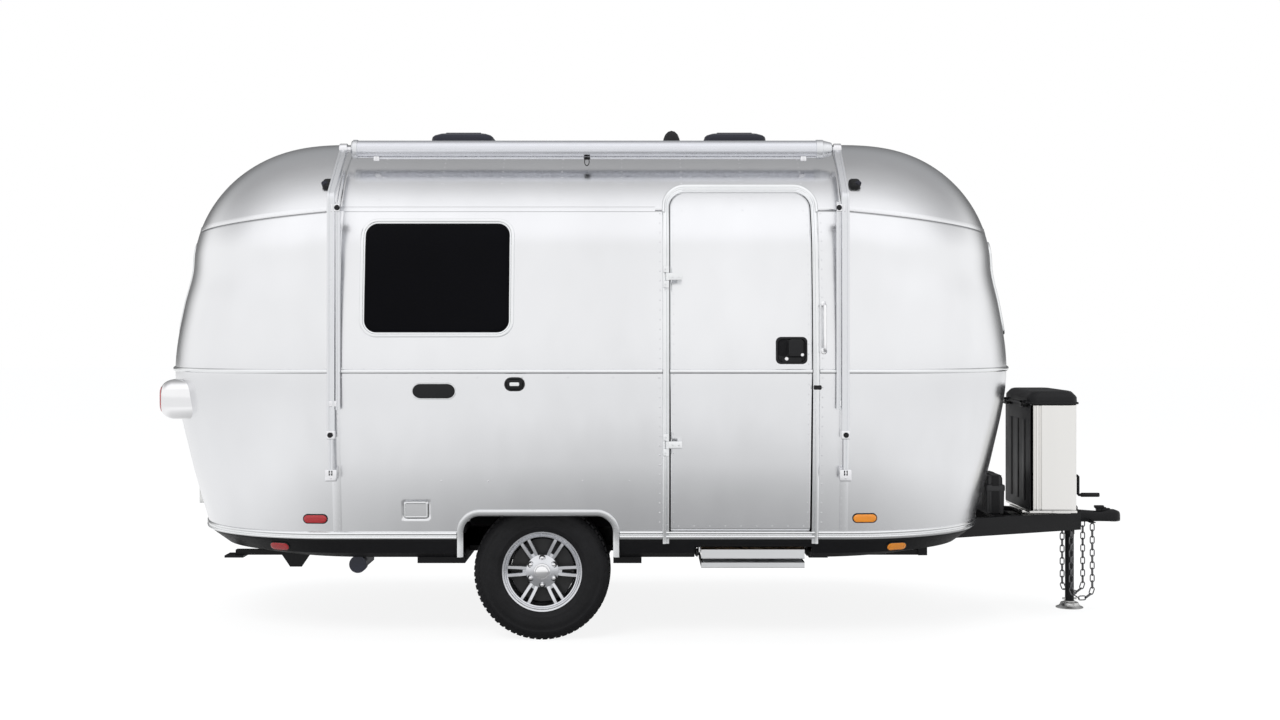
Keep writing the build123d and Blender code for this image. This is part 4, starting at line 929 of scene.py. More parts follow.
FOOT_RAIL = [(-0.020, -0.012), (-0.020, 0.006), (-0.018, 0.010), (-0.013, 0.012), (-0.008, 0.010),
             (-0.006, 0.005), (0.001, 0.005), (0.003, 0.009), (0.008, 0.0115), (0.014, 0.009),
             (0.017, 0.004), (0.020, 0.002), (0.020, -0.012)]
BELT_RAIL = [(-0.012, -0.008), (-0.012, 0.004), (-0.009, 0.009), (-0.004, 0.0115), (0.004, 0.0115),
             (0.009, 0.009), (0.012, 0.004), (0.012, -0.008)]
FOOT_Z = FOOT + 0.020
ARCH_REAR, ARCH_FRONT = ARCH[0] - ARCH[2] / 2, ARCH[0] + ARCH[2] / 2
rail_parts = []
for end, curb_x, street_x in (("front", DOOR_FRONT, ARCH_FRONT), ("rear", ARCH_REAR, ARCH_REAR)):
    path, out = plan_path(FOOT_Z, curb_x, street_x, end)
    rail_parts.append(sweep(path, FOOT_RAIL, out))
path, out = side_path(FOOT_Z, ARCH_FRONT, DOOR_REAR, -1)
rail_parts.append(sweep(path, FOOT_RAIL, out))
piece("foot_rail", "caravan", joined(rail_parts), trim_metal, ["base_rail"])
front_path, front_out = plan_path(BELT, DOOR_FRONT, -0.30, "front")
rear_path, rear_out = plan_path(BELT, DOOR_REAR, -0.30, "rear")
belt_parts = [sweep(front_path, BELT_RAIL, front_out), sweep(rear_path, BELT_RAIL, rear_out)]
piece("belt_moulding", "caravan", joined(belt_parts), trim_metal, ["belt_rail"])
print("rails", len(front_path) + len(rear_path), "stations at the belt")

# %% [markdown]
# Frames round windows, door and wheel arch are extrusions bent to an outline. The outline is drawn flat in x
# and z, and each of the profile's points is then laid on the skin, so the frame follows the curved wall.

# %% Frames on the skin
def laid_frame(outline, profile, side, closed=True):
    """Carries a profile round a flat outline on the side's skin. Each profile point is (inward distance,
    height over the skin); inward is to the left of the outline's direction."""
    outline = np.asarray(outline, float)
    if closed:
        tangent = np.roll(outline, -1, 0) - np.roll(outline, 1, 0)
    else:
        tangent = np.gradient(outline, axis=0)
    tangent = unit(tangent)
    inward = np.stack([-tangent[:, 1], tangent[:, 0]], 1)
    profile = np.asarray(profile, float)
    spots = outline[:, None] + inward[:, None] * profile[None, :, :1]
    points, _ = skin(spots[..., 0], spots[..., 1], side,
                     np.broadcast_to(profile[None, :, 1], spots.shape[:2]))
    return grid(points, wrap_rows=closed, wrap_columns=True, caps=not closed)


def outline_of(shape, margin=0.0, step=0.02):
    """A rounded rectangle's outline, anticlockwise, dense enough to follow the skin."""
    cx, cz, width, height, corner = inset(shape, margin)
    return denser(rounded_outline(width, height, corner, 10) + np.array([cx, cz]), step)


WINDOW_FRAME = [(0.000, -0.006), (0.000, 0.004), (0.002, 0.0085), (0.006, 0.010), (0.013, 0.010),
                (0.016, 0.008), (0.0175, 0.0045), (0.021, 0.004), (0.024, 0.002), (0.0245, -0.010),
                (0.020, -0.012)]


def glass_patch(shape, side, depth):
    """A pane on the skin, depth below it: rings of the outline shrink to the middle."""
    cx, cz = shape[:2]
    ring = outline_of(shape, 0.0, 0.03) - np.array([cx, cz])
    shrink = np.linspace(1, 0, 14)[:, None, None]
    spots = ring[None] * shrink + np.array([cx, cz])
    points, _ = skin(spots[..., 0], spots[..., 1], side, np.full(spots.shape[:2], -depth))
    return grid(points, wrap_columns=True)


frame_parts, glass_parts, gasket_parts = [], [], []
GASKET = [(0.0225, -0.010), (0.0225, 0.0005), (0.0245, 0.0015), (0.0300, 0.0005), (0.0315, -0.0035),
          (0.0315, -0.010)]
for side, windows in ((-1, [SIDE_WINDOW]), (1, [SIDE_WINDOW, KITCHEN_WINDOW])):
    for window in windows:
        frame_parts.append(laid_frame(outline_of(window), WINDOW_FRAME, side))
        gasket_parts.append(laid_frame(outline_of(window), GASKET, side))
        glass_parts.append(glass_patch(inset(window, WINDOW_BAND), side, 0.004))


def end_ring(margin, end, height):
    """The end window's outline on the cap's tip arc, margin inward and height over the skin."""
    ring = outline_of(inset(END_WINDOW, margin))
    y, z = ring[:, 0], ring[:, 1]
    return tip_points(y, z, end, height)


def tip_points(y, z, end, height):
    """Points on a cap's large end arc at y and z: x = tip centre + sqrt(r^2 - y^2)."""
    half, rear, front = level_at(z)
    sign, seam, reach = (1, SEAM_FRONT, front) if end == "front" else (-1, SEAM_REAR, rear)
    radius = END * half
    run = np.sqrt(radius**2 - y**2)
    x = seam + sign * (reach - radius + run)
    d = 0.01
    slope = (level_at(z + d)[2 if end == "front" else 1]
             - level_at(z - d)[2 if end == "front" else 1]) / (2 * d)
    normal = unit(np.stack([sign * run / radius, y / radius, -slope], -1))
    return np.stack([x, y, z], -1) + normal * height


for end in ("front", "rear"):
    for profile, parts in ((WINDOW_FRAME, frame_parts), (GASKET, gasket_parts)):
        rings = np.stack([end_ring(inward, end, height) for inward, height in profile], 1)
        parts.append(grid(rings, wrap_rows=True, wrap_columns=True))
    ring = outline_of(inset(END_WINDOW, WINDOW_BAND), 0, 0.03)
    centre = np.array(END_WINDOW[:2])
    spots = (ring - centre)[None] * np.linspace(1, 0, 14)[:, None, None] + centre
    glass_parts.append(grid(tip_points(spots[..., 0], spots[..., 1], end, -0.004), wrap_columns=True))
piece("window_surrounds", "caravan", joined(frame_parts), trim_metal, ["window_frames"])
piece("window_gaskets", "caravan", joined(gasket_parts), black_plastic)


def away_from_middle(centres):
    """Directions from the middle of the cabin to the given centres."""
    return centres - np.array([-0.35, 0, 1.6])


panes = piece("window_panes", "caravan", joined(glass_parts), window_dark, ["window_glass"],
              facing=away_from_middle)
thicken(panes, 0.005)

ARCH_FRAME = [(0.000, -0.010), (0.000, 0.003), (0.003, 0.0075), (0.009, 0.0088), (0.022, 0.0088),
              (0.027, 0.007), (0.030, 0.003), (0.033, 0.001), (0.033, -0.010)]


def arch_outline():
    """The arch from its front foot over the top to its rear foot, anticlockwise seen from the curb."""
    ring = rounded_outline(ARCH[2], ARCH[3], ARCH[4], 14) + np.array(ARCH[:2])
    upper = ring[ring[:, 1] > ARCH[1] + 1e-6]
    feet = np.array([[ARCH_FRONT, 0.441]]), np.array([[ARCH_REAR, 0.441]])
    return denser(np.vstack([feet[0], upper, feet[1]]), 0.03, closed=False)


def hung_frame(outline, profile, side):
    """An open frame that lies on the skin, and below the shell carries straight on down."""
    tangent = unit(np.gradient(outline, axis=0))
    inward = np.stack([-tangent[:, 1], tangent[:, 0]], 1)
    profile = np.array(profile)
    spots = outline[:, None] + inward[:, None] * profile[None, :, :1]
    height = np.maximum(spots[..., 1], FOOT)
    points, _ = skin(spots[..., 0], height, side, np.broadcast_to(profile[None, :, 1], spots.shape[:2]))
    points[..., 2] += spots[..., 1] - height
    return grid(points, wrap_columns=True, caps=True)


piece("arch_surrounds", "caravan", joined([hung_frame(arch_outline(), ARCH_FRAME, k) for k in (-1, 1)]),
      trim_metal, ["arch_trims"])
print("frames", len(frame_parts), "panes", len(glass_parts))

# %% [markdown]
# The door is a sheet of its own that hangs on two hinges, flush with the wall. It fills its frame up to a
# gap of 3 mm. Its grid has rows of changing width: each row ends on the outline, so the round upper corners
# need no cutting. Behind the sheet is a narrower core that clears the jamb as the door swings.

# %% Door
DOOR_EDGE = FRAME_WIDTH + DOOR_GAP
DOOR_SKIN = 0.005


def door_patch(edge, foot, out, latch_room=0.0):
    """A patch of the curb skin with round upper corners: half width(z) = W - r + sqrt(r^2 - rise^2)."""
    x0, x1 = DOOR_REAR + edge, DOOR_FRONT - edge - latch_room
    top, radius = DOOR_TOP - edge, DOOR_CORNER - edge
    bend = top - radius + radius * np.sin(np.linspace(0, np.pi / 2, 12))
    z = np.concatenate([np.linspace(foot, top - radius, 110)[:-1], bend])[:, None]
    rise = np.clip(z - (top - radius), 0, radius)
    narrow = radius - np.sqrt(np.maximum(radius**2 - rise**2, 0))
    share = np.linspace(0, 1, 60)[None, :]
    x = x0 + narrow + share * (x1 - x0 - 2 * narrow)
    points, _ = skin(x, np.broadcast_to(z, x.shape), -1, np.full(x.shape, out))
    return grid(points)


def to_curb(centres):
    """The direction to the curb side, the same at all centres."""
    return np.array([0, -1, 0])


door_skin = piece("door_skin", "door", door_patch(DOOR_EDGE, SILL + DOOR_GAP, 0.0), [shell_metal, lining],
                  ["door_panel"], weld=False, facing=to_curb)
thicken(door_skin, DOOR_SKIN, 1)
door_core = piece("door_core", "door", door_patch(0.048, 0.606, -DOOR_SKIN - 0.0003, 0.014), lining,
                  facing=to_curb, weld=False)
thicken(door_core, 0.0395)

door_rows = [
    along_line((DOOR_REAR + 0.057, 0.62), (DOOR_REAR + 0.057, 2.19), 0.050, -1),
    along_line((DOOR_FRONT - 0.057, 0.62), (DOOR_FRONT - 0.057, 2.19), 0.050, -1),
    along_line((0.16, 2.288), (0.72, 2.288), 0.056, -1),
    along_line((0.12, 0.600), (0.76, 0.600), 0.080, -1),
]
for z in (1.02, 1.90):
    door_rows.append(along_line((0.30, z), (0.62, z), 0.160, -1))
piece("door_rivets", "door",
      rivets(np.vstack([p for p, _ in door_rows]), np.vstack([n for _, n in door_rows]), 0.0036, 0.0015),
      rivet_metal, weld=False, facing=to_curb, sharp=80)
belt, belt_out = side_path(BELT, DOOR_REAR + DOOR_EDGE, DOOR_FRONT - DOOR_EDGE, -1)
piece("door_belt", "door", sweep(belt, BELT_RAIL, belt_out), trim_metal)
print("door rivets", sum(len(p) for p, _ in door_rows))

# %% [markdown]
# The door frame is a broad bright extrusion with a rolled lip and a thin black seal. A drip cap lies over its
# top. The hinges are castings with three knuckles each, half on the frame and half on
# the door, so each half rides on its own body.

# %% Door frame and hinges
DOOR_FRAME = [(0.000, -0.006), (0.000, 0.004), (0.002, 0.009), (0.007, 0.013), (0.014, 0.0138),
              (0.020, 0.012), (0.023, 0.007), (0.028, 0.006), (0.031, 0.008), (0.0345, 0.006),
              (0.036, 0.001), (0.036, -0.040), (0.031, -0.040), (0.031, -0.006)]
DRIP = [(-0.001, 0.002), (-0.001, 0.015), (0.002, 0.020), (0.007, 0.0215), (0.012, 0.020), (0.016, 0.015),
        (0.016, 0.010)]
SEAL = [(0.033, -0.020), (0.033, -0.008), (0.044, -0.0075), (0.044, -0.020)]
DRIP_Z = 2.202


def door_outline(low):
    """From the front foot over the top to the rear foot, anticlockwise seen from the curb."""
    ring = rounded_outline(DOOR[2], DOOR[3], DOOR[4], 14) + np.array([DOOR[0], DOOR[1]])
    upper = ring[(ring[:, 1] > DOOR_TOP - DOOR_CORNER - 1e-6)]
    return denser(np.vstack([[[DOOR_FRONT, low]], upper, [[DOOR_REAR, low]]]), 0.025, closed=False)


frame_shape = [hung_frame(door_outline(DOOR_FOOT), DOOR_FRAME, -1),
               hung_frame(door_outline(DRIP_Z), DRIP, -1)]
sill_line, sill_out = side_path(FOOT_Z, DOOR_REAR + 0.001, DOOR_FRONT - 0.001, -1)
frame_shape.append(sweep(sill_line, FOOT_RAIL, sill_out))
HINGE_X, HINGE_Y, HINGE_R, HINGE_LENGTH = 0.062, -1.184, 0.009, 0.115
HINGE_HEIGHTS = (1.022, 1.873)
KNUCKLE = HINGE_LENGTH / 3
door_leaves = []


def knuckle(low, high):
    """A round barrel with small chamfers round the hinge axis."""
    r, c = HINGE_R, 0.0012
    rows = [(0, low), (r - c, low), (r, low + c), (r, high - c), (r - c, high), (0, high)]
    return turned(rows, (HINGE_X, HINGE_Y, 0), (0, 0, 1), 24)


def screw(origin, axis, radius=0.005):
    """A round screw head with a low dome."""
    rows = [(radius, -0.002), (radius, 0.001), (radius * 0.8, 0.0022), (radius * 0.35, 0.0026),
            (radius * 0.3, 0.0012), (0, 0.0012)]
    return turned(rows, origin, axis, 14)


for z in HINGE_HEIGHTS:
    wall_y = -float(level_at(z)[0])
    foot, top = z - HINGE_LENGTH / 2, z + HINGE_LENGTH / 2
    for low, high in ((foot + 0.0005, foot + KNUCKLE - 0.0005), (top - KNUCKLE + 0.0005, top - 0.0005)):
        frame_shape.append(knuckle(low, high))
        frame_shape.append(soft_block((DOOR_REAR + 0.004, wall_y - 0.004, low),
                                      (HINGE_X, HINGE_Y - 0.005, high), 0.003))
        frame_shape.append(screw((DOOR_REAR + 0.013, HINGE_Y - 0.005, (low + high) / 2), (0, -1, 0), 0.004))
    low, high = foot + KNUCKLE + 0.0005, top - KNUCKLE - 0.0005
    door_leaves.append(knuckle(low, high))
    door_leaves.append(soft_block((HINGE_X, HINGE_Y - 0.006, low), (0.136, HINGE_Y + 0.005, high), 0.003))
    door_leaves.append(soft_block((0.112, HINGE_Y, low), (0.136, wall_y + 0.002, high), 0.003))
    for x in (0.088, 0.120):
        door_leaves.append(screw((x, HINGE_Y - 0.006, z), (0, -1, 0)))
piece("door_surround", "caravan", joined(frame_shape), trim_metal, ["door_frame"])
piece("door_seal", "caravan", hung_frame(door_outline(SILL), SEAL, -1), black_plastic)
piece("door_hinge_leaves", "door", joined(door_leaves), trim_metal)
print("hinges", len(HINGE_HEIGHTS))

# %% [markdown]
# The latch is a black moulding with a rim, a sunk hand space, a paddle and two bright key cylinders. Flat
# plates like this are stacks of rings: each ring is the same outline with its own inset and height.

# %% Latch and grab handle
def stacked(outline, rings, place):
    """A plate from rings. outline is flat (across, up), rings are (inset, height), and place turns (across,
    up, height) into points. An outline is inset by scaling it about its middle."""
    half = np.abs(outline).max(0)
    loops = [place(outline * (1 - inset_by / half), np.full(len(outline), height))
             for inset_by, height in rings]
    return grid(np.stack(loops), wrap_columns=True, caps=True)


def on_side(cx, cz, side=-1, lift=0.0):
    """Puts flat shapes on the side's skin, centred at cx and cz."""
    def place(flat, height):
        points, _ = skin(flat[:, 0] + cx, flat[:, 1] + cz, side, height + lift)
        return points
    return place


LATCH_X, LATCH_Z = 0.692, 1.499
latch = [
    stacked(rounded_outline(0.160, 0.138, 0.026), [(0, -0.001), (0, 0.006), (0.003, 0.010), (0.010, 0.0105),
            (0.013, 0.007), (0.014, 0.004)], on_side(LATCH_X, LATCH_Z)),
    stacked(rounded_outline(0.078, 0.088, 0.018), [(0, 0.003), (0, 0.019), (0.003, 0.0235), (0.008, 0.0245)],
            on_side(LATCH_X + 0.020, LATCH_Z + 0.012)),
    stacked(rounded_outline(0.104, 0.026, 0.010), [(0, 0.003), (0, 0.012), (0.002, 0.0145)],
            on_side(LATCH_X, LATCH_Z - 0.046)),
]
piece("door_latch", "door", joined(latch), black_plastic, ["door_handle"])
sunk = stacked(rounded_outline(0.044, 0.084, 0.012), [(0, 0.0045), (0.002, 0.0052)],
               on_side(LATCH_X - 0.044, LATCH_Z + 0.014))
piece("latch_recess", "door", sunk, well_black)
keys = []
for dx, dz, lift, radius in ((-0.026, -0.042, 0.0145, 0.0095), (0.052, -0.022, 0.0240, 0.0085)):
    centre, normal = skin(LATCH_X + dx, LATCH_Z + dz, -1, np.array(lift))
    keys.append(turned([(radius, -0.016), (radius, 0.0005), (radius * 0.85, 0.002), (radius * 0.6, 0.0021),
                        (radius * 0.5, 0.001), (0, 0.001)], centre, normal, 20))
piece("latch_keys", "door", joined(keys), chrome)
catch = stacked(rounded_outline(0.040, 0.022, 0.006), [(0, -0.001), (0, 0.008), (0.003, 0.0115)],
                on_side(0.823, 1.312, -1, 0.006))
piece("door_catch", "caravan", catch, black_plastic)
GRAB_X, GRAB_Y, GRAB_R, GRAB_LOW, GRAB_HIGH = 0.856, -1.205, 0.009, 1.484, 1.745
bend = np.linspace(0, np.pi / 2, 8)
grab_wall = -float(level_at(GRAB_LOW)[0]), -float(level_at(GRAB_HIGH)[0])
low_turn = np.stack([0 * bend + GRAB_X, GRAB_Y + 0.022 * (1 - np.sin(bend)),
                     GRAB_LOW + 0.012 + 0.022 * (1 - np.cos(bend))], 1)
grab_path = np.vstack([[[GRAB_X, grab_wall[0] + 0.004, GRAB_LOW + 0.012]], low_turn,
                       [[GRAB_X, GRAB_Y, (GRAB_LOW + GRAB_HIGH) / 2]],
                       low_turn[::-1] * np.array([1, 1, -1]) + np.array([0, 0, GRAB_LOW + GRAB_HIGH]),
                       [[GRAB_X, grab_wall[1] + 0.004, GRAB_HIGH - 0.012]]])
circle = np.stack([np.cos(np.linspace(0, 2 * np.pi, 17)[:-1]), np.sin(np.linspace(0, 2 * np.pi, 17)[:-1])], 1)
grab = [sweep(denser(grab_path, 0.01, closed=False), circle * GRAB_R * 0.85, (1, 0, 0))]
for z, wall_y in ((GRAB_LOW + 0.012, grab_wall[0]), (GRAB_HIGH - 0.012, grab_wall[1])):
    grab.append(turned([(0.016, -0.003), (0.016, 0.003), (0.012, 0.006), (0, 0.006)], (GRAB_X, wall_y, z),
                       (0, -1, 0), 24))
piece("grab_rail", "caravan", joined(grab), chrome, ["grab_handle"])
print("latch and grab rail ready")

# %% [markdown]
# A wheel is a lathe form: tyre, barrel and hub are profiles turned round the axle. The tread is rows of small
# blocks, one array for each rib, set round the tyre by angle. The sidewall has low rings and a band of short
# ribs where a real tyre has its lettering, because this tyre is blank.

# %% Tyres
AXLE_X, WHEEL_Y, TYRE_R = -0.583, 0.905, 0.354
RIB_ARC = 0.052


def block_ring(radius, y_low, y_high, count, arc, height, shift=0.0, skew=0.0):
    """count low blocks round the tyre between y_low and y_high. A block's top is smaller than its foot."""
    step = 2 * np.pi / count
    centre = (np.arange(count) + shift) * step
    corners, r = [], []
    for h, shrink in ((-0.002, 1.0), (height, 0.88)):
        for y, s in ((y_low, -1), (y_high, 1)):
            for a in (-1, 1):
                middle = (y_low + y_high) / 2
                corners.append((centre + (a * arc * shrink / 2) * step + s * skew * step,
                                middle + (y - middle) * shrink))
                r.append(radius + h)
    angle = np.stack([c[0] for c in corners], 1)
    y = np.broadcast_to(np.array([c[1] for c in corners]), angle.shape)
    r = np.array(r)[None]
    points = np.stack([r * np.cos(angle), y, r * np.sin(angle)], -1).reshape(-1, 3)
    order = np.array([(4, 5, 7, 6), (0, 1, 5, 4), (2, 6, 7, 3), (0, 4, 6, 2), (1, 3, 7, 5)])
    faces = (np.arange(count)[:, None, None] * 8 + order[None]).reshape(-1, 4).tolist()
    return points, faces


def tyre_shape():
    """The tyre round the Y axis, outer side towards -Y: carcass, tread blocks and sidewall ribs."""
    half = [(0.1903, 0.078), (0.196, 0.085), (0.213, 0.090), (0.222, 0.0985), (0.230, 0.1035),
            (0.234, 0.1062), (0.237, 0.1060), (0.252, 0.1092), (0.268, 0.1108), (0.286, 0.1106),
            (0.288, 0.1096), (0.305, 0.1078), (0.3075, 0.1086), (0.3175, 0.1062), (0.327, 0.1020),
            (0.336, 0.0965), (0.3425, 0.0895), (0.3455, 0.0830)]
    tread = [(0.3465, 0.070), (0.3470, 0.0480), (0.3415, 0.0470), (0.3415, 0.0410), (0.3470, 0.0400),
             (0.3470, 0.0160), (0.3415, 0.0150), (0.3415, 0.0090), (0.3470, 0.0080)]
    rows = half + tread
    rows = rows + [(r, -y) for r, y in rows[::-1]]
    carcass = turned(rows, (0, 0, 0), (0, 1, 0), 128)
    parts = [carcass]
    for y_low, y_high, count, arc, shift, skew in (
        (0.0480, 0.0860, 64, 0.74, 0.0, 0.10), (0.0165, 0.0395, 60, 0.80, 0.3, 0.22),
        (-0.0075, 0.0075, 56, 0.86, 0.1, 0),
        (-0.0395, -0.0165, 60, 0.80, 0.6, 0.22), (-0.0860, -0.0480, 64, 0.74, 0.5, 0.10),
    ):
        radius = 0.3460 if abs(y_low + y_high) < 0.1 else 0.3450
        parts.append(block_ring(radius, y_low, y_high, count, arc, 0.0070, shift, skew))
    for side in (-1, 1):
        angle = np.linspace(0, 2 * np.pi, 64, endpoint=False)
        ribs = []
        for widen, lift in ((1.0, 0.0030), (1.15, -0.004)):
            for k in (0, 1):
                for r, y in ((0.324, 0.1035), (0.3405, 0.0920)):
                    a = angle + (k - 0.5) * RIB_ARC * widen
                    rib_y = np.full_like(a, side * (y + lift))
                    ribs.append(np.stack([r * np.cos(a), rib_y, r * np.sin(a)], 1))
        points = np.stack(ribs, 1).reshape(-1, 3)
        order = np.array([(0, 1, 3, 2), (0, 2, 6, 4), (1, 5, 7, 3), (0, 4, 5, 1), (2, 3, 7, 6)])
        parts.append((points, (np.arange(64)[:, None, None] * 8 + order[None]).reshape(-1, 4).tolist()))
    return joined(parts)


# %% [markdown]
# The alloy rim has six pairs of slim spokes between a hub and a bright outer ring. Each spoke is a trapezoid
# profile swept outward, and its flanks fall back, so that light runs along its edges. Dark pockets, six lug
# nuts in recesses and a stepped chrome cap finish the face.

# %% Rims
def rim_parts():
    """Silver, dark and chrome shapes of one rim round the Y axis, its face towards -Y."""
    barrel = [(0.1897, -0.0835), (0.2065, -0.0878), (0.2080, -0.0900), (0.2065, -0.0920), (0.1985, -0.0905),
              (0.1940, -0.0850), (0.1860, -0.0780), (0.1800, -0.0700), (0.1765, -0.0560), (0.1690, -0.0300),
              (0.1680, 0.0300), (0.1760, 0.0560), (0.1770, 0.0900), (0.2065, 0.0920), (0.2080, 0.0880),
              (0.1897, 0.0835), (0.1897, 0.0600), (0.1745, 0.0340), (0.1745, -0.0340), (0.1897, -0.0640)]
    silver = [turned(barrel + barrel[:1], (0, 0, 0), (0, 1, 0), 96)]
    silver.append(turned([(0.1880, -0.056), (0.1880, -0.0800), (0.1845, -0.0835), (0.1790, -0.0815),
                          (0.1765, -0.0770), (0.1765, -0.056), (0.1880, -0.056)], (0, 0, 0), (0, 1, 0), 96))
    silver.append(turned([(0.0420, -0.050), (0.0860, -0.050), (0.0870, -0.0640), (0.0840, -0.0700),
                          (0.0660, -0.0740), (0.0480, -0.0800), (0.0420, -0.0800), (0.0420, -0.050)],
                         (0, 0, 0), (0, 1, 0), 72))
    for k in range(6):
        turn = k * math.pi / 3
        outward = np.array([math.cos(turn), 0, math.sin(turn)])
        sideways = np.array([-math.sin(turn), 0, math.cos(turn)])
        for across in (-1, 1):
            run = np.linspace(0.070, 0.183, 14)
            spread = across * np.interp(run, [0.070, 0.11, 0.183], [0.0135, 0.0175, 0.0215])
            rise = -np.interp(run, [0.070, 0.10, 0.16, 0.183], [0.0660, 0.0700, 0.0775, 0.0790])
            path = run[:, None] * outward + spread[:, None] * sideways + rise[:, None] * np.array([0, 1, 0])
            profile = [(-0.0115, 0.020), (-0.0100, 0.004), (-0.0075, 0.0), (0.0075, 0.0), (0.0100, 0.004),
                       (0.0115, 0.020)]
            silver.append(sweep(path, profile, (0, 1, 0)))
        web = (np.array([0.083, 0.102])[:, None] * outward
               - np.array([0.066, 0.066])[:, None] * np.array([0, 1, 0]))
        silver.append(sweep(web, [(-0.012, 0.012), (-0.012, 0.0), (0.012, 0.0), (0.012, 0.012)], (0, 1, 0)))
    dark = [turned([(0.045, -0.020), (0.1630, -0.020), (0.1650, -0.016), (0.1650, 0.010), (0.1370, 0.014),
                    (0.1370, 0.118), (0.045, 0.118), (0.045, -0.020)], (0, 0, 0), (0, 1, 0), 64)]
    bright = [turned([(0.0430, -0.0780), (0.0430, -0.0900), (0.0410, -0.0945), (0.0370, -0.0955),
                      (0.0345, -0.0935), (0.0330, -0.0955), (0.0330, -0.1050), (0.0310, -0.1090),
                      (0.0240, -0.1112), (0.0, -0.1118)], (0, 0, 0), (0, 1, 0), 48)]
    for k in range(6):
        turn = (k + 0.5) * math.pi / 3
        centre = np.array([math.cos(turn), 0, math.sin(turn)]) * 0.06985
        dark.append(turned([(0.0165, -0.0660), (0.0165, -0.0745), (0.0140, -0.0755), (0.0135, -0.0725),
                            (0, -0.0720)], centre, (0, 1, 0), 20))
        nut = [(0.0105, -0.070), (0.0105, -0.0845), (0.0085, -0.0870), (0.0040, -0.0880), (0, -0.0880)]
        bright.append(turned(nut, centre, (0, 1, 0), 6))
    valve = np.array([[0.150, -0.060, 0.0], [0.160, -0.082, 0.0]])
    dark.append(sweep(valve, circle * 0.004, (0, 0, 1)))
    return joined(silver), joined(dark), joined(bright)


tyre, (silver, dark, bright) = tyre_shape(), rim_parts()
for side_name, side in (("curb", -1), ("street", 1)):
    hub = np.array([AXLE_X, side * WHEEL_Y, TYRE_R])
    flip = np.array([1, -side, 1])

    def placed(shape):
        """The shape at its hub, its outer face towards the side."""
        return shape[0] * flip + hub, shape[1]

    body = f"wheel_{side_name}"
    piece(f"tread_tyre_{side_name}", body, placed(tyre), tyre_black, [f"tyre_{side_name}"], sharp=28)
    piece(f"alloy_rim_{side_name}", body, placed(silver), wheel_silver, [f"rim_{side_name}"], sharp=32)
    piece(f"rim_pockets_{side_name}", body, placed(dark), wheel_dark)
    piece(f"rim_cap_{side_name}", body, placed(bright), chrome)
print("tyre faces", len(tyre[1]), "rim faces", len(silver[1]))

# %% [markdown]
# The awning is a long roller on two folding arms. The roller is a tube with a slot for the cloth, capped by
# castings. Each arm is a channel with a groove, bent at the shoulder so that it leans in to the roller.

# %% Awning
ROLLER_Y, ROLLER_Z = -0.822, 2.556
ROLLER_REAR, ROLLER_FRONT = -1.598, 0.937
ARM_XS, ARM_Y, ARM_BEND, ARM_FOOT, BRACKET_Z = (-1.639, 0.962), -1.178, 2.290, 1.065, 0.868


def roller_shape():
    """The roller tube: a circle with a slot, carried along X, with a hem bar beside the slot."""
    angle = np.radians(np.linspace(-58, 282, 56))
    wall = np.stack([np.cos(angle), np.sin(angle)], 1) * 0.0455
    slot = np.array([[0.010, -0.040], [0.008, -0.030], [0.026, -0.030]])
    outline = np.vstack([wall, slot])
    path = np.linspace([ROLLER_REAR + 0.014, ROLLER_Y, ROLLER_Z], [ROLLER_FRONT - 0.052, ROLLER_Y, ROLLER_Z],
                       24)
    tube = sweep(path, outline, (0, 0, 1))
    bar = [(-0.006, -0.052), (-0.006, -0.044), (0.004, -0.041), (0.012, -0.046), (0.010, -0.0525)]
    return joined([tube, sweep(path[1:-1], bar, (0, 0, 1))])


piece("awning_tube", "caravan", roller_shape(), roller_metal, ["awning_roller"])
ends = [turned([(0, 0.0), (0.030, 0.0), (0.042, 0.004), (0.0465, 0.010), (0.0495, 0.012), (0.0495, 0.034),
                (0.046, 0.036), (0, 0.036)], (ROLLER_REAR, ROLLER_Y, ROLLER_Z), (1, 0, 0)),
        turned([(0, 0.0), (0.022, 0.0), (0.034, 0.006), (0.041, 0.030), (0.046, 0.050), (0.0495, 0.054),
                (0.0495, 0.086), (0.046, 0.088), (0, 0.088)], (ROLLER_FRONT, ROLLER_Y, ROLLER_Z), (-1, 0, 0))]
piece("awning_caps", "caravan", joined(ends), tube_metal)
clips = []
for x in (-1.464, 0.783):
    clips.append(soft_block((x - 0.016, ROLLER_Y - 0.022, 2.492), (x + 0.016, ROLLER_Y - 0.002, 2.520),
                            0.004))
    clips.append(screw((x, ROLLER_Y - 0.022, 2.504), (0, -1, 0), 0.006))
piece("awning_clips", "caravan", joined(clips), rivet_metal)
loop = np.radians(np.linspace(0, 360, 25)[:-1])
strap_loop = np.stack([-0.356 + 0.012 * np.cos(loop), 0 * loop + ROLLER_Y - 0.030,
                       2.487 + 0.020 * np.sin(loop)], 1)
strap = [sweep(strap_loop, [(-0.002, -0.006), (-0.002, 0.006), (0.002, 0.006), (0.002, -0.006)], (0, 1, 0),
               closed=True),
         soft_block((-0.372, ROLLER_Y - 0.036, 2.500), (-0.340, ROLLER_Y - 0.004, 2.512), 0.003)]
piece("awning_strap", "caravan", joined(strap), black_plastic)

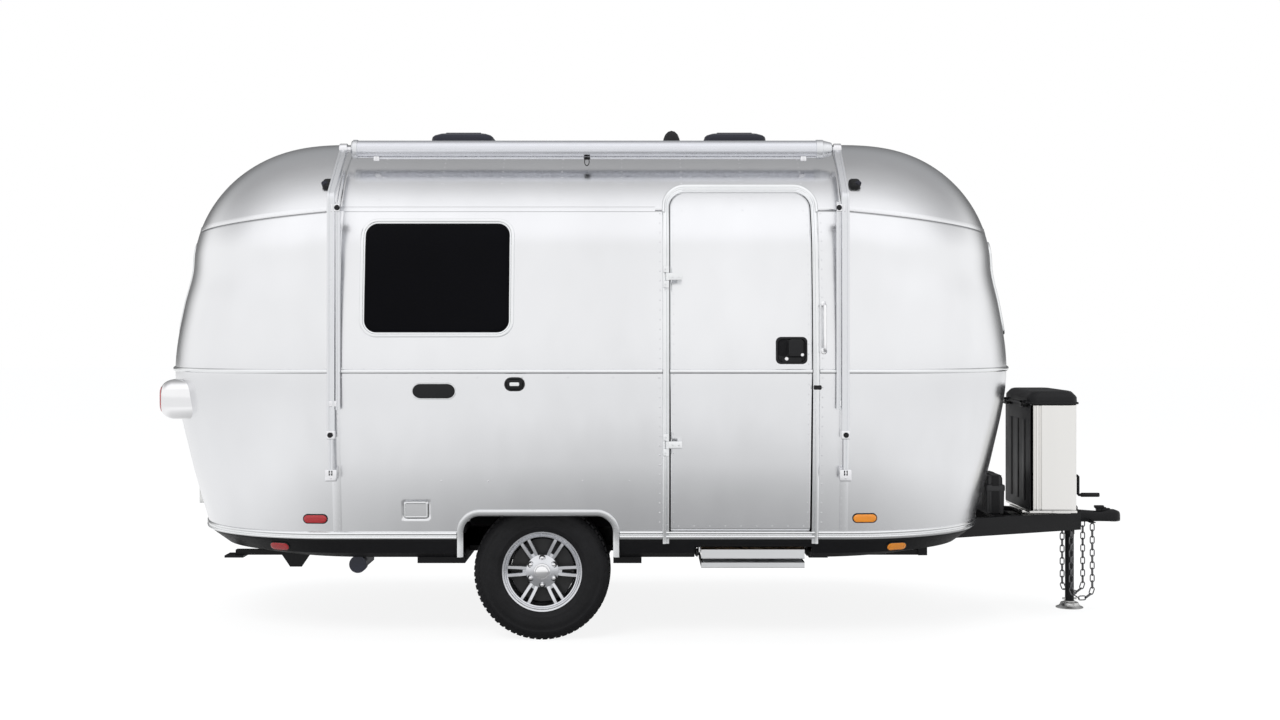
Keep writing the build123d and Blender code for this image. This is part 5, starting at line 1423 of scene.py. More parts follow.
CHANNEL = [(-0.0190, -0.013), (-0.0190, 0.0115), (-0.0175, 0.013), (-0.0080, 0.013), (-0.0070, 0.0085),
           (0.0070, 0.0085), (0.0080, 0.013), (0.0175, 0.013), (0.0190, 0.0115), (0.0190, -0.013)]
SLIM = [(-0.011, -0.010), (-0.011, 0.0085), (-0.0095, 0.010), (-0.003, 0.010), (-0.002, 0.006),
        (0.002, 0.006), (0.003, 0.010), (0.0095, 0.010), (0.011, 0.0085), (0.011, -0.010)]
arm_tubes, arm_castings, arm_knobs = [], [], []
for x, sign in zip(ARM_XS, (1, -1)):
    bend = np.array([[x, ARM_Y, ARM_BEND - 0.030], [x, ARM_Y + 0.002, ARM_BEND - 0.012],
                     [x, ARM_Y + 0.010, ARM_BEND + 0.002]])
    lean = unit(np.array([0, ROLLER_Y - ARM_Y, ROLLER_Z - ARM_BEND]))
    end = np.array([x, ROLLER_Y, ROLLER_Z]) - lean * 0.012
    path = np.vstack([[[x, ARM_Y, ARM_FOOT], [x, ARM_Y, 1.7]], bend, [end]])
    arm_tubes.append(sweep(path, CHANNEL, (0, -1, 0.6)))
    arm_tubes.append(sweep([[x, ARM_Y, BRACKET_Z], [x, ARM_Y, ARM_FOOT + 0.005]], SLIM, (0, -1, 0)))
    rafter = x + sign * 0.035
    arm_tubes.append(sweep([[rafter, ARM_Y, 1.200], [rafter, ARM_Y, 1.7], [rafter, ARM_Y, ARM_BEND - 0.04]],
                           SLIM, (0, -1, 0)))
    wall_y = -float(level_at(BRACKET_Z)[0])
    arm_castings.append(soft_block((x - 0.030, ARM_Y - 0.010, BRACKET_Z - 0.030),
                                   (x + 0.030, ARM_Y + 0.010, BRACKET_Z + 0.030), 0.006))
    arm_castings.append(soft_block((x - 0.024, ARM_Y, BRACKET_Z - 0.026),
                                   (x + 0.024, wall_y + 0.003, BRACKET_Z + 0.026), 0.003))
    arm_castings.append(soft_block((x - 0.022, ARM_Y - 0.0155, ARM_FOOT - 0.014),
                                   (x + 0.022, ARM_Y + 0.012, ARM_FOOT + 0.030), 0.004))
    arm_castings.append(soft_block((x - 0.022, ARM_Y - 0.012, 1.214),
                                   (x + sign * 0.030, ARM_Y + 0.010, 1.246), 0.004))
    arm_castings.append(soft_block((x, ARM_Y - 0.012, ARM_BEND - 0.090),
                                   (x + sign * 0.046, ARM_Y + 0.010, ARM_BEND - 0.050), 0.004))
    hook_y = -float(level_at(1.960)[0])
    arm_castings.append(soft_block((x - 0.014, ARM_Y + 0.010, 1.942), (x + 0.014, hook_y + 0.003, 1.978),
                                   0.003))
    arm_castings.append(turned([(0, -0.020), (0.028, -0.020), (0.030, -0.017), (0.030, 0.017), (0.028, 0.020),
                                (0, 0.020)], (x, ROLLER_Y, ROLLER_Z), (1, 0, 0), 32))
    reach = ROLLER_REAR if sign > 0 else ROLLER_FRONT
    arm_castings.append(sweep([[x, ROLLER_Y, ROLLER_Z], [reach, ROLLER_Y, ROLLER_Z]], circle * 0.015,
                              (0, 0, 1)))
    for z in (BRACKET_Z + 0.012, BRACKET_Z - 0.012):
        arm_castings.append(screw((x, ARM_Y - 0.010, z), (0, -1, 0), 0.006))
    knob_rows = [(0, -0.002), (0.008, -0.002), (0.008, 0.006), (0.013, 0.008), (0.014, 0.017),
                 (0.011, 0.021), (0, 0.022)]
    arm_knobs.append(turned(knob_rows, (x, ARM_Y - 0.011, ARM_FOOT + 0.008), (0, -1, 0), 12))
    arm_knobs.append(turned(knob_rows, (rafter, ARM_Y - 0.010, ARM_BEND - 0.070), (0, -1, 0), 12))
piece("arm_channels", "caravan", joined(arm_tubes), tube_metal, ["awning_arms"])
piece("arm_castings", "caravan", joined(arm_castings), rivet_metal)
piece("arm_knobs", "caravan", joined(arm_knobs), black_plastic)
print("awning arms", len(ARM_XS))

# %% [markdown]
# Lamps are lenses on small mouldings. The shell's own lamps follow its curve, so they are stacks of rings
# laid on the skin. The tail lamps stand straight back in bright pods, because their face has to be upright.

# %% Lamps
def lamp_lens(width, height, corner):
    """An outline with its rings: a bezel that rises to a lip, and a lens that is crowned."""
    outline = rounded_outline(width, height, corner, 10)
    bezel = [(0, -0.003), (0, 0.0035), (0.0015, 0.0052), (0.0045, 0.0052), (0.0055, 0.003)]
    lens = [(0.0050, 0.001), (0.0050, 0.0055), (0.0075, 0.0078), (0.0140, 0.0088), (0.020, 0.0089)]
    return outline, bezel, lens


MARKERS = ((-1.736, 0.638), (1.072, 0.642))
bezels, red_parts, amber_parts = [], [], []
for x, z in MARKERS:
    outline, bezel, lens = lamp_lens(0.128, 0.050, 0.0245)
    for side in (-1, 1):
        bezels.append(stacked(outline, bezel, on_side(x, z, side)))
        (red_parts if x < 0 else amber_parts).append(stacked(outline, lens, on_side(x, z, side)))

BELLY_ROWS = np.array([(0.430, 0.995, 0.616, 0.590), (0.458, 1.043, 0.781, 0.755),
                       (0.520, 1.069, 0.866, 0.840),
                       (0.560, 1.0745, 0.876, 0.850)])   # height, half width, rear reach, front reach


def on_belly(cx, cz, side):
    """Puts flat shapes on the belly's side: y from the same plan as the shell's, normals by small steps."""
    def belly_y(x, z):
        half, rear, front = (np.interp(z, BELLY_ROWS[:, 0], BELLY_ROWS[:, k]) for k in (1, 2, 3))
        beyond = np.maximum(x - SEAM_FRONT, SEAM_REAR - x)
        corner_x = np.where(x > 0, front, rear) - END * half + (END - CORNER) * half * math.cos(LEAN)
        past = np.clip(beyond - corner_x, 0, CORNER * half * 0.999)
        return half - CORNER * half + np.sqrt((CORNER * half)**2 - past**2)

    def place(flat, height):
        x, z, d = flat[:, 0] + cx, flat[:, 1] + cz, 0.004
        slope_x = (belly_y(x + d, z) - belly_y(x - d, z)) / (2 * d)
        normal = unit(np.stack([-slope_x, np.ones_like(x), 0 * x - 0.15], 1))
        points = np.stack([x, belly_y(x, z), z], 1) + normal * height[:, None]
        return points * np.array([1, side, 1])
    return place


for x in (SEAM_REAR - 0.315, SEAM_FRONT + 0.286):
    outline, bezel, lens = lamp_lens(0.112, 0.050, 0.0245)
    for side in (-1, 1):
        bezels.append(stacked(outline, bezel, on_belly(x, 0.485, side)))
        (red_parts if x < 0 else amber_parts).append(stacked(outline, lens, on_belly(x, 0.485, side)))

TAIL_Y, TAIL_Z, TAIL_TIP = 0.750, 1.236, -2.628
pods = []
for side in (-1, 1):
    def to_rear(flat, height):
        """Flat shapes turned to face backwards at the tail lamp; height is measured from the pod's tip."""
        return np.stack([TAIL_TIP + height, flat[:, 0] + side * TAIL_Y, flat[:, 1] + TAIL_Z], 1)

    outline = rounded_outline(0.150, 0.212, 0.070, 12)
    pods.append(stacked(outline, [(0.0, 0.200), (0.0, 0.075), (0.004, 0.055), (0.011, 0.038), (0.020, 0.025),
                                  (0.029, 0.017), (0.032, 0.0165), (0.034, 0.020)], to_rear))
    red_parts.append(stacked(outline, [(0.033, 0.024), (0.033, 0.0150), (0.039, 0.0085), (0.050, 0.0030),
                                       (0.066, 0.0004)], to_rear))
piece("tail_pods", "caravan", joined(pods), chrome, ["tail_lamps"])
piece("marker_bezels", "caravan", joined(bezels), black_plastic, ["side_markers"])
piece("red_lenses", "caravan", joined(red_parts), red_lens)
piece("amber_lenses", "caravan", joined(amber_parts), amber_lens)
LAMP_Z = SEAM + 0.138
clearance, clearance_lens = [], []
for x in (SEAM_REAR - 0.077, SEAM_FRONT + 0.078):
    for side in (-1, 1):
        outline = rounded_outline(0.062, 0.048, 0.018)
        clearance.append(stacked(outline, [(0, -0.006), (0, 0.012), (0.004, 0.020), (0.010, 0.024)],
                                 on_side(x, LAMP_Z, side)))
        outer = x + (0.018 if x > 0 else -0.018)
        centre, normal = skin(outer, LAMP_Z - 0.006, side, np.array(0.018))
        clearance_lens.append(turned([(0.016, -0.006), (0.016, 0.006), (0.012, 0.010), (0, 0.0115)], centre,
                                     normal, 24))
piece("clearance_pods", "caravan", joined(clearance), black_plastic, ["clearance_lamps"])
piece("clearance_lenses", "caravan", joined(clearance_lens), smoked)
print("lenses", len(red_parts) + len(amber_parts))

# %% [markdown]
# Small fittings on the wall: a blank oval badge with a bright rim, the power inlet under its flap, and the
# two service hatches, each a flush lid under a hinge bar. Their outlines are rounded rectangles on the skin.

# %% Wall fittings
BADGE_AT, INLET_AT = (-1.123, 1.293), (-0.713, 1.328)
badge_outline = rounded_outline(0.226, 0.084, 0.0415, 12)
badge_rim = stacked(badge_outline,
                    [(0, -0.001), (0, 0.0055), (0.002, 0.0080), (0.005, 0.0080), (0.007, 0.0055)],
                    on_side(*BADGE_AT))
badge_face = stacked(badge_outline, [(0.006, 0.003), (0.006, 0.0062), (0.008, 0.0066)],
                     on_side(*BADGE_AT))
inlet_outline = rounded_outline(0.104, 0.070, 0.0345, 12)
inlet = stacked(inlet_outline, [(0, -0.001), (0, 0.010), (0.003, 0.014), (0.008, 0.015), (0.011, 0.011)],
                on_side(*INLET_AT))
flap = stacked(rounded_outline(0.078, 0.044, 0.012), [(0, 0.009), (0, 0.0165), (0.003, 0.019)],
               on_side(*INLET_AT))
inner_flap = stacked(rounded_outline(0.050, 0.020, 0.006), [(0, 0.0185), (0.001, 0.0200), (0.003, 0.0205)],
                     on_side(INLET_AT[0], 1.329))
piece("badge_rim", "caravan", joined([badge_rim, inner_flap]), trim_metal, ["side_fittings"])
piece("badge_face", "caravan", joined([badge_face, flap]), black_plastic)
piece("power_inlet", "caravan", inlet, black_plastic)
for name, shape, side in (("curb", HATCH_CURB, -1), ("street", HATCH_STREET, 1)):
    cx, cz, width, height, _ = shape
    outline = rounded_outline(width - 0.005, height - 0.005, 0.010)
    spots_x = np.linspace(-0.5, 0.5, 24)[None, :] * (width - 0.005) + cx
    spots_z = np.linspace(-0.5, 0.5, 14)[:, None] * (height - 0.005) + cz
    points, _ = skin(*np.broadcast_arrays(spots_x, spots_z), side)
    lid = piece(f"hatch_lid_{name}", f"hatch_{name}", grid(points), [shell_metal, lining], [f"hatch_{name}"],
                facing=lambda c, k=side: np.array([0, k, 0]))
    thicken(lid, 0.005, 1)
    top = cz + height / 2
    y = side * (float(level_at(top)[0]) + 0.008)
    ends_x = np.array([cx - width / 2 + 0.014, cx + width / 2 - 0.014])
    bar = [sweep([[ends_x[0], y, top - 0.004], [ends_x[1], y, top - 0.004]], circle * 0.0048, (0, 0, 1)),
           soft_block((ends_x[0], y, top - 0.009), (ends_x[1], y - side * 0.011, top - 0.005), 0.001)]
    piece(f"hatch_hinge_{name}", f"hatch_{name}", joined(bar), trim_metal)
    ring = laid_frame(outline_of((cx, cz, width - 0.006, height - 0.006, 0.010)),
                      [(0, -0.001), (0, 0.0015), (0.002, 0.0025), (0.007, 0.0025), (0.009, 0.001),
                       (0.009, -0.001)], side)
    piece(f"hatch_rim_{name}", f"hatch_{name}", ring, trim_metal)
print("wall fittings ready")

# %% [markdown]
# The tongue carries the gas bottles' cover, the battery box, the jack and the coupler. The cover is a bright
# sheet bent round three sides, with two grooves near its rear edge, and a black back. Its lid is black,
# hinged behind, and it rides on its own body.

# %% Gas bottle cover
GAS_REAR, GAS_FRONT, GAS_HALF, GAS_FOOT, GAS_TOP = 2.105, 2.372, 0.305, 0.590, 1.187
FRAME_TOP = 0.5595
turn = np.radians(np.linspace(0, 90, 10))
front_corner = np.stack([GAS_FRONT - 0.034 + 0.034 * np.sin(turn), -GAS_HALF + 0.034 - 0.034 * np.cos(turn)],
                        1)
grooves = []
for x in (2.134, 2.162):
    grooves += [[x - 0.009, -GAS_HALF], [x - 0.003, -GAS_HALF + 0.007], [x + 0.003, -GAS_HALF + 0.007],
                [x + 0.009, -GAS_HALF]]
half_wrap = np.vstack([[[GAS_REAR + 0.004, -GAS_HALF]], grooves, front_corner])
wrap = np.vstack([half_wrap, half_wrap[::-1] * np.array([1, -1])])
heights = np.array([GAS_FOOT, GAS_FOOT + 0.012, GAS_TOP - 0.010, GAS_TOP])
wrap_points = np.stack(np.broadcast_arrays(wrap[None, :, 0], wrap[None, :, 1], heights[:, None]), -1)
wrap_sheet = piece("gas_wrap", "caravan", grid(wrap_points), brushed, ["gas_cover"], sharp=20,
                   facing=lambda c: c - np.array([2.2, 0, 0.9]))
thicken(wrap_sheet, 0.005)
back = [soft_block((GAS_REAR, -GAS_HALF + 0.003, GAS_FOOT), (GAS_REAR + 0.006, GAS_HALF - 0.003, GAS_TOP),
                   0.002)]
for y in (-0.16, 0.0, 0.16):
    back.append(soft_block((GAS_REAR - 0.004, y - 0.03, GAS_FOOT + 0.05),
                           (GAS_REAR + 0.003, y + 0.03, GAS_TOP - 0.09), 0.003))
for side in (-1, 1):
    back.append(soft_block((GAS_REAR, side * GAS_HALF, GAS_FOOT),
                           (GAS_REAR + 0.020, side * (GAS_HALF - 0.008), GAS_TOP), 0.002))
LID_HINGE = np.array([2.083, 0.200, 1.175])
for side in (-1, 1):
    y = side * LID_HINGE[1]
    back.append(sweep([[LID_HINGE[0], y - 0.045, LID_HINGE[2]], [LID_HINGE[0], y + 0.045, LID_HINGE[2]]],
                      circle * 0.004, (0, 0, 1)))
    for dy in (-0.045, 0.020):
        back.append(soft_block((LID_HINGE[0] - 0.006, y + dy, LID_HINGE[2] - 0.006),
                               (GAS_REAR + 0.001, y + dy + 0.025, LID_HINGE[2] + 0.006), 0.002))
piece("gas_back", "caravan", joined(back), black_plastic)


def flat_stack(cx, cy, length, width, corner, rings):
    """A lid or foot seen from above: rings of (inset, z) of one rounded rectangle."""
    def place(flat, height):
        return np.stack([flat[:, 0] + cx, flat[:, 1] + cy, height], 1)
    return stacked(rounded_outline(length, width, corner, 10), rings, place)


mid_x = (GAS_REAR + GAS_FRONT) / 2
lid_parts = [flat_stack(mid_x, 0, 0.297, 0.640, 0.060, [
    (0.000, 1.1873), (0.000, 1.1960), (0.002, 1.1985), (0.006, 1.1990), (0.008, 1.2010), (0.009, 1.2260),
    (0.013, 1.2330), (0.030, 1.2530), (0.036, 1.2580), (0.048, 1.2615), (0.080, 1.2618)])]
for y in (-0.12, 0.12):
    lid_parts.append(soft_block((mid_x - 0.080, y - 0.012, 1.255), (mid_x + 0.080, y + 0.012, 1.2619), 0.003))
for side in (-1, 1):
    y = side * LID_HINGE[1]
    lid_parts.append(turned([(0.0041, -0.019), (0.008, -0.019), (0.008, 0.019), (0.0041, 0.019),
                             (0.0041, -0.019)], (LID_HINGE[0], y, LID_HINGE[2]), (0, 1, 0), 24))
    lid_parts.append(soft_block((LID_HINGE[0] - 0.008, y - 0.019, LID_HINGE[2] + 0.004),
                                (LID_HINGE[0], y + 0.019, 1.207), 0.002))
    lid_parts.append(soft_block((LID_HINGE[0] - 0.008, y - 0.019, 1.193), (GAS_REAR, y + 0.019, 1.207),
                                0.002))
piece("gas_cover_lid", "gas_lid", joined(lid_parts), black_plastic, ["gas_lid"])
tray = [soft_block((GAS_REAR - 0.010, -0.160, FRAME_TOP), (GAS_FRONT, 0.160, FRAME_TOP + 0.020), 0.002),
        soft_block((GAS_REAR, -GAS_HALF + 0.010, FRAME_TOP + 0.018), (GAS_FRONT, GAS_HALF - 0.010, GAS_FOOT),
                   0.002)]
for side in (-1, 1):
    tray.append(screw((2.235, side * (GAS_HALF - 0.010), FRAME_TOP + 0.024), (0, side, 0), 0.006))
piece("gas_tray", "caravan", joined(tray), brushed)
print("gas cover ready")

# %% [markdown]
# The battery sits in a ribbed box under an overlapping lid, tied down by a strap. Ribs and lip are separate
# soft-edged blocks, because a moulded box has a small radius on every edge, and that radius catches the
# light.

# %% Battery box
BATTERY_FRONT, BATTERY_LENGTH, BATTERY_HALF = 1.998, 0.112, 0.170
bx = BATTERY_FRONT - BATTERY_LENGTH / 2
box_parts = [flat_stack(bx, 0, BATTERY_LENGTH - 0.010, 2 * BATTERY_HALF - 0.016, 0.012,
                        [(0.003, FRAME_TOP), (0, FRAME_TOP + 0.004), (-0.002, 0.705)])]
box_parts.append(flat_stack(bx, 0, BATTERY_LENGTH, 2 * BATTERY_HALF, 0.014, [
    (0.000, 0.690), (0.000, 0.716), (0.003, 0.722), (0.012, 0.7245), (0.013, 0.7600), (0.018, 0.7720),
    (0.030, 0.7740)]))
for k in range(9):
    y = (k - 4) * 0.036
    box_parts.append(soft_block((bx - 0.038, y - 0.005, 0.735), (bx + 0.038, y + 0.005, 0.7770), 0.002))
for y in (-0.120, -0.072, 0.072, 0.120):
    for side in (-1, 1):
        box_parts.append(soft_block((bx + side * 0.048, y - 0.006, 0.572),
                                    (bx + side * 0.0545, y + 0.006, 0.688), 0.002))
for side in (-1, 1):
    for dx in (-0.030, 0.0, 0.030):
        box_parts.append(soft_block((bx + dx - 0.005, side * 0.158, 0.572),
                                    (bx + dx + 0.005, side * 0.1665, 0.688), 0.002))
piece("battery_moulding", "caravan", joined(box_parts), grey_plastic, ["battery_box"])
strap_line = np.array([[bx, -0.1690, 0.562], [bx, -0.1715, 0.640], [bx, -0.1718, 0.715], [bx, -0.160, 0.776],
                       [bx, -0.080, 0.7805], [bx, 0.080, 0.7805], [bx, 0.160, 0.776], [bx, 0.1718, 0.715],
                       [bx, 0.1715, 0.640], [bx, 0.1690, 0.562]])
strap_line[:, 1] = np.clip(strap_line[:, 1], -0.1690, 0.1690)
strap = [sweep(strap_line, [(-0.019, -0.001), (-0.019, 0.001), (0.019, 0.001), (0.019, -0.001)],
               unit(strap_line - np.array([bx, 0, 0.66]))),
         soft_block((bx - 0.024, -0.030, 0.7770), (bx + 0.024, 0.030, 0.7834), 0.002)]
piece("battery_strap", "caravan", joined(strap), black_paint)
print("battery box ready")

# %% [markdown]
# The jack is a tube with a crank. Its leg slides inside it and ends in a zinc foot. The coupler is a pressed
# body that swells into a cup over the ball, with a latch on top. Both stand in black paint on the frame.

# %% Jack and coupler
JACK_X, JACK_FOOT = 2.406, 0.425
tube_rows = [(0.0256, JACK_FOOT), (0.0285, JACK_FOOT), (0.0285, 0.545), (0.0285, 0.572), (0.0285, 0.762),
             (0.0275, 0.766), (0.0275, 0.792), (0.022, 0.799), (0, 0.800)]
jack = [turned(tube_rows, (JACK_X, 0, 0), (0, 0, 1), 40)]
jack.append(turned([(0.0285, 0.5715), (0.046, 0.5715), (0.047, 0.574), (0.046, 0.583), (0.0285, 0.585)],
                   (JACK_X, 0, 0), (0, 0, 1), 40))
for k in range(6):
    a = k * math.pi / 3
    jack.append(turned([(0.005, 0.0), (0.005, 0.005), (0, 0.006)],
                       (JACK_X + 0.0385 * math.cos(a), 0.0385 * math.sin(a), 0.583), (0, 0, 1), 6))
crank_line = denser(np.array([[JACK_X + 0.026, 0, 0.760], [JACK_X + 0.044, 0, 0.760],
                              [JACK_X + 0.050, 0, 0.754],
                              [JACK_X + 0.050, 0, 0.656], [JACK_X + 0.056, 0, 0.650],
                              [JACK_X + 0.075, 0, 0.650]]),
                    0.01, closed=False)
jack.append(sweep(crank_line, circle * 0.0085, (0, 1, 0)))
piece("jack_body", "caravan", joined(jack), black_paint, ["jack_tube"])
grip = turned([(0, 0.066), (0.011, 0.066), (0.0125, 0.070), (0.0125, 0.165), (0.0110, 0.172), (0, 0.174)],
              (JACK_X, 0, 0.650), (1, 0, 0), 24)
piece("crank_grip", "caravan", grip, black_plastic)
leg = turned([(0, 0.028), (0.0253, 0.028), (0.0253, 0.490), (0.023, 0.494), (0, 0.494)], (JACK_X, 0, 0),
             (0, 0, 1), 36)
piece("jack_inner_tube", "jack_leg", leg, black_paint, ["jack_leg"])
foot = turned([(0, 0.0), (0.078, 0.0), (0.078, 0.0035), (0.074, 0.006), (0.062, 0.010), (0.054, 0.020),
               (0.050, 0.030), (0.040, 0.0335), (0.030, 0.034), (0.030, 0.040), (0, 0.040)], (JACK_X, 0, 0),
               (0, 0, 1), 48)
foot_pin = sweep([[JACK_X - 0.040, 0, 0.052], [JACK_X + 0.040, 0, 0.052]], circle * 0.006, (0, 0, 1))
piece("jack_foot", "jack_leg", joined([foot, foot_pin]), zinc)

NOSE, TIP, CUP_R, LOW, HIGH = 2.448, 2.698, 0.045, 0.500, 0.566


def coupler_body():
    """Cross-sections along X: a rounded box whose height and width change from channel to cup."""
    x = np.array([NOSE - 0.020, NOSE + 0.03, NOSE + 0.09, NOSE + 0.13, NOSE + 0.155, NOSE + 0.175])
    half = np.array([0.045, 0.045, 0.040, 0.038, 0.041, 0.0445])
    high = np.array([0.562, 0.562, 0.558, 0.556, 0.560, 0.565])
    cup = np.radians(np.linspace(12, 86, 9))
    cup_x = TIP - CUP_R
    x = np.concatenate([x, cup_x + CUP_R * np.sin(cup)])
    half = np.concatenate([half, CUP_R * np.cos(cup)])
    high = np.concatenate([high, LOW + 0.020 + (HIGH - LOW - 0.020) * np.cos(cup) ** 0.5])
    rings = []
    for station, width, top in zip(x, half, high):
        outline = rounded_outline(2 * width, top - LOW, min(0.016, width * 0.9), 6)
        rings.append(np.stack([np.full(len(outline), station), outline[:, 0],
                               outline[:, 1] + (top + LOW) / 2], 1))
    return grid(np.stack(rings), wrap_columns=True, caps=True)


coupler = [coupler_body(), soft_block((NOSE - 0.01, -0.048, LOW), (NOSE + 0.06, 0.048, LOW + 0.012), 0.003),
           turned([(0.0258, 0.4995), (0.0345, 0.4995), (0.0345, 0.5030), (0.0258, 0.5030), (0.0258, 0.4995)],
                  (TIP - CUP_R, 0, 0), (0, 0, 1), 36)]
CHAIN_REAR, CHAIN_R, CHAIN_Y = NOSE - 0.058, 0.060, 0.100
for side in (-1, 1):
    x = CHAIN_REAR + 2 * CHAIN_R
    coupler.append(soft_block((x - 0.016, side * 0.040, LOW),
                              (x + 0.016, side * (CHAIN_Y + 0.016), LOW + 0.006), 0.002))
piece("coupler_body", "caravan", joined(coupler), black_paint, ["coupler"])
latch_parts = [soft_block((2.560, -0.015, 0.553), (2.640, 0.015, 0.574), 0.005),
               soft_block((2.556, -0.008, 0.568), (2.618, 0.008, 0.580), 0.004),
               soft_block((2.550, -0.0155, 0.574), (2.604, 0.0155, 0.5895), 0.004),
               sweep([[2.592, -0.022, 0.566], [2.592, 0.022, 0.566]], circle * 0.005, (0, 0, 1))]
piece("coupler_latch", "caravan", joined(latch_parts), black_paint)
print("jack and coupler ready")

# %% [markdown]
# Two safety chains hang in loops beside the jack. A link is a round bar bent to an oval, so it is one circle
# swept along a closed path. Every second link is turned by a quarter. The links follow a plumb line down, a
# half circle, and a plumb line up, at the same pitch as in the frame.

# %% Safety chains
LINK_HALF, LINK_BAR, LINKS = 0.025, 0.007, 24
LINK_PITCH = 2 * (LINK_HALF - LINK_BAR) + 0.0004
rear_start, front_end = FRAME_TOP - 0.100 - LINK_HALF, LOW - LINK_HALF
chain_length = (LINKS - 1) * LINK_PITCH
loop_z = (rear_start + front_end + math.pi * CHAIN_R - chain_length) / 2
oval = rounded_outline(2 * LINK_HALF - LINK_BAR, 0.0225, 0.0110, 4)
bar = circle[::2] * LINK_BAR / 2
chain_parts = []
for side in (-1, 1):
    for k in range(LINKS):
        s = k * LINK_PITCH
        bow = min(max((s - (rear_start - loop_z)) / CHAIN_R, 0), math.pi)
        x, z = CHAIN_REAR + CHAIN_R * (1 - math.cos(bow)), loop_z - CHAIN_R * math.sin(bow)
        if bow <= 0:
            z = rear_start - s
        elif bow >= math.pi:
            z = front_end - (chain_length - s)
        along = np.array([math.sin(bow), 0, -math.cos(bow)])
        flat = np.array([0, 1.0, 0]) if k % 2 else np.cross(along, [0, 1.0, 0])
        across = np.cross(flat, along)
        path = np.array([x, side * CHAIN_Y, z]) + oval[:, :1] * along + oval[:, 1:] * across
        chain_parts.append(sweep(path, bar, flat, closed=True))
piece("chain_links", "caravan", joined(chain_parts), chain_steel, ["safety_chains"],
      weld=False)
print("chain links", len(chain_parts))

# %% [markdown]
# The step has two ribbed treads. The upper one is fixed between black cheeks, and the lower one swings out on
# two arms and stays level. Ribs along the tread are one wavy profile carried across it.

# %% Step
STEP_REAR, STEP_FRONT, STEP_EDGE = 0.238, 0.770, -1.030


def ribbed_tread(y_low, y_high, z_low, z_high):
    """A tread with ribs: a closed profile in y and z, rippled on top and on its front lip, carried along
    X."""
    y = np.linspace(y_high, y_low + 0.004, 61)
    ripple = 0.0015 * (np.cos((y - y_low) / 0.012 * 2 * np.pi) - 1)
    top = np.stack([y, z_high + ripple], 1)
    lip = np.array([[y_low, z_high - 0.004], [y_low, z_low + 0.003], [y_low + 0.003, z_low],
                    [y_low + 0.009, z_low], [y_low + 0.009, z_high - 0.009], [y_high - 0.005, z_high - 0.009],
                    [y_high - 0.005, z_low], [y_high, z_low]])
    outline = np.vstack([top, lip])
    ends = np.array([STEP_REAR, STEP_FRONT])
    points = np.stack(np.broadcast_arrays(ends[:, None], outline[None, :, 0], outline[None, :, 1]), -1)
    return grid(points, wrap_columns=True, caps=True)


piece("upper_tread", "caravan", ribbed_tread(STEP_EDGE, STEP_EDGE + 0.240, 0.426, 0.477), step_metal,
      ["step_frame"])
piece("lower_tread", "step_tread", ribbed_tread(STEP_EDGE, STEP_EDGE + 0.220, 0.379, 0.410), step_metal,
      ["step_tread"])
PIVOT_Y, PIVOT_Z, LINK_RUN, GAP, PLATE = -0.860, 0.450, 0.190, 0.006, 0.008
stow = math.radians(-15)
far_y, far_z = PIVOT_Y + LINK_RUN * math.cos(stow), PIVOT_Z + LINK_RUN * math.sin(stow)
cheeks, tread_ends = [], []
for sign, edge in ((-1, STEP_REAR), (1, STEP_FRONT)):
    arm_in, arm_out = edge + sign * GAP, edge + sign * (GAP + PLATE)
    cheek_in, cheek_out = edge + sign * (2 * GAP + PLATE), edge + sign * (2 * GAP + 2 * PLATE)
    cheeks.append(soft_block((cheek_in, PIVOT_Y - 0.060, 0.426), (cheek_out, PIVOT_Y + 0.060, 0.560), 0.002))
    seat = edge + 0.5 * (edge - cheek_in)
    cheeks.append(soft_block((seat, PIVOT_Y - 0.060, 0.477), (cheek_out, PIVOT_Y + 0.060, 0.492), 0.002))
    cheeks.append(sweep([[cheek_in, PIVOT_Y, PIVOT_Z], [arm_in, PIVOT_Y, PIVOT_Z]], circle * 0.006,
                        (0, 0, 1)))
    cheeks.append(turned([(0, 0), (0.010, 0), (0.010, 0.003), (0.006, 0.005), (0, 0.005)],
                         (cheek_out, PIVOT_Y, PIVOT_Z), (sign, 0, 0), 16))
    inner = edge - sign * 0.008
    tread_ends.append(soft_block((inner, STEP_EDGE + 0.040, far_z - 0.022),
                                 (edge, far_y + 0.014, far_z + 0.009), 0.002))
    tread_ends.append(sweep([[edge, far_y, far_z], [arm_out, far_y, far_z]], circle * 0.006, (0, 0, 1)))
    tread_ends.append(soft_block((edge - sign * 0.001, STEP_EDGE + 0.001, 0.3792),
                                 (edge - sign * 0.010, STEP_EDGE + 0.050, 0.4098), 0.003))
piece("step_cheeks", "caravan", joined(cheeks), black_paint)
piece("tread_ends", "step_tread", joined(tread_ends), black_paint)
print("step ready")

# %% [markdown]
# On the roof are two vents with smoked, crowned lids, and an aerial folded flat. At the back a blank number
# plate hangs on four bolts. The lids are rings again, with ribs that fade out towards the middle.

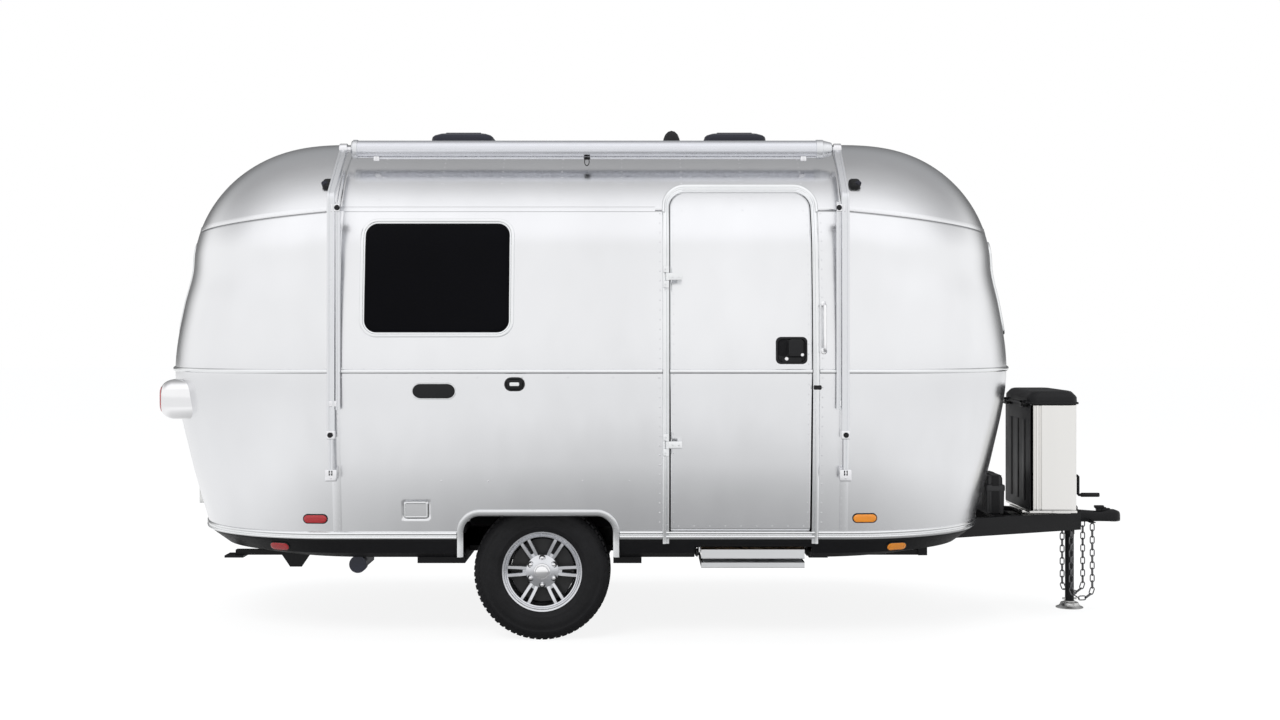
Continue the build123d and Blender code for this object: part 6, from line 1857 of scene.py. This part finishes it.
# %% Roof and rear fittings
vent_base, vent_lid = [], []
for cx in (SEAM_REAR + 0.536, SEAM_FRONT - 0.499):
    vent_base.append(flat_stack(cx, 0, 0.360, 0.360, 0.020, [
        (0, CROWN - 0.050), (0, CROWN + 0.014), (0.003, CROWN + 0.018), (0.010, CROWN + 0.0185)]))
    vent_lid.append(flat_stack(cx, 0, 0.350, 0.350, 0.040, [
        (0.004, CROWN + 0.019), (0, CROWN + 0.022), (0, CROWN + 0.046), (0.004, CROWN + 0.058),
        (0.016, CROWN + 0.068), (0.045, CROWN + 0.079), (0.090, CROWN + 0.086), (0.150, CROWN + 0.0878)]))
    for y in (-0.09, -0.03, 0.03, 0.09):
        vent_lid.append(soft_block((cx - 0.10, y - 0.004, CROWN + 0.070),
                                   (cx + 0.10, y + 0.004, CROWN + 0.0879), 0.002))
piece("vent_bases", "caravan", joined(vent_base), black_plastic)
piece("vent_lids", "caravan", joined(vent_lid), smoked, ["roof_vents"])
AERIAL_X = 0.105
aerial = [turned([(0.052, -0.020), (0.052, 0.020), (0.050, 0.040), (0.046, 0.064), (0.036, 0.088),
                  (0.020, 0.104), (0, 0.1105)], (AERIAL_X, 0, CROWN), (0, 0, 1), 40),
          soft_block((AERIAL_X - 0.230, -0.014, CROWN + 0.020), (AERIAL_X - 0.02, 0.014, CROWN + 0.044),
                     0.006),
          soft_block((AERIAL_X - 0.228, -0.022, CROWN + 0.010), (AERIAL_X - 0.180, 0.022, CROWN + 0.030),
                     0.006),
          sweep([[AERIAL_X - 0.16, -0.020, CROWN + 0.034], [AERIAL_X - 0.16, 0.020, CROWN + 0.034]],
                circle * 0.007, (0, 0, 1))]
piece("folded_aerial", "caravan", joined(aerial), black_plastic, ["roof_aerial"])
plate_x = -2.580
bolt_rows = [(0.006, -0.001), (0.006, 0.002), (0.004, 0.0035), (0, 0.0038)]
bolts = [turned(bolt_rows, (plate_x, y, z), (-1, 0, 0), 6) for y in (-0.130, 0.130) for z in (0.650, 0.750)]
piece("plate_bolts", "caravan", joined(bolts), zinc)
print("roof and rear ready")

# %% [markdown]
# Last, the CAD nodes whose own shape is right get their finish.

# %% Finishes of the carried-over nodes
NODE_FINISH = {
    "floor_deck": floor_wood, "belly_pan": belly_black, "chassis_frame": black_paint,
    "wheel_boxes": well_black, "axle": black_paint, "leg_brackets": black_paint,
    "skid_plates": black_paint, "leg_front_curb": black_paint, "leg_front_street": black_paint,
    "leg_rear_curb": black_paint, "leg_rear_street": black_paint, "step_arms": black_paint,
    "waste_outlet": outlet_blue, "number_plate": plate_paint,
}
for node, material in NODE_FINISH.items():
    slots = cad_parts[node].data.materials
    slots.clear()
    slots.append(material)
print("shown nodes", sum(not o.hide_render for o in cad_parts.values()))
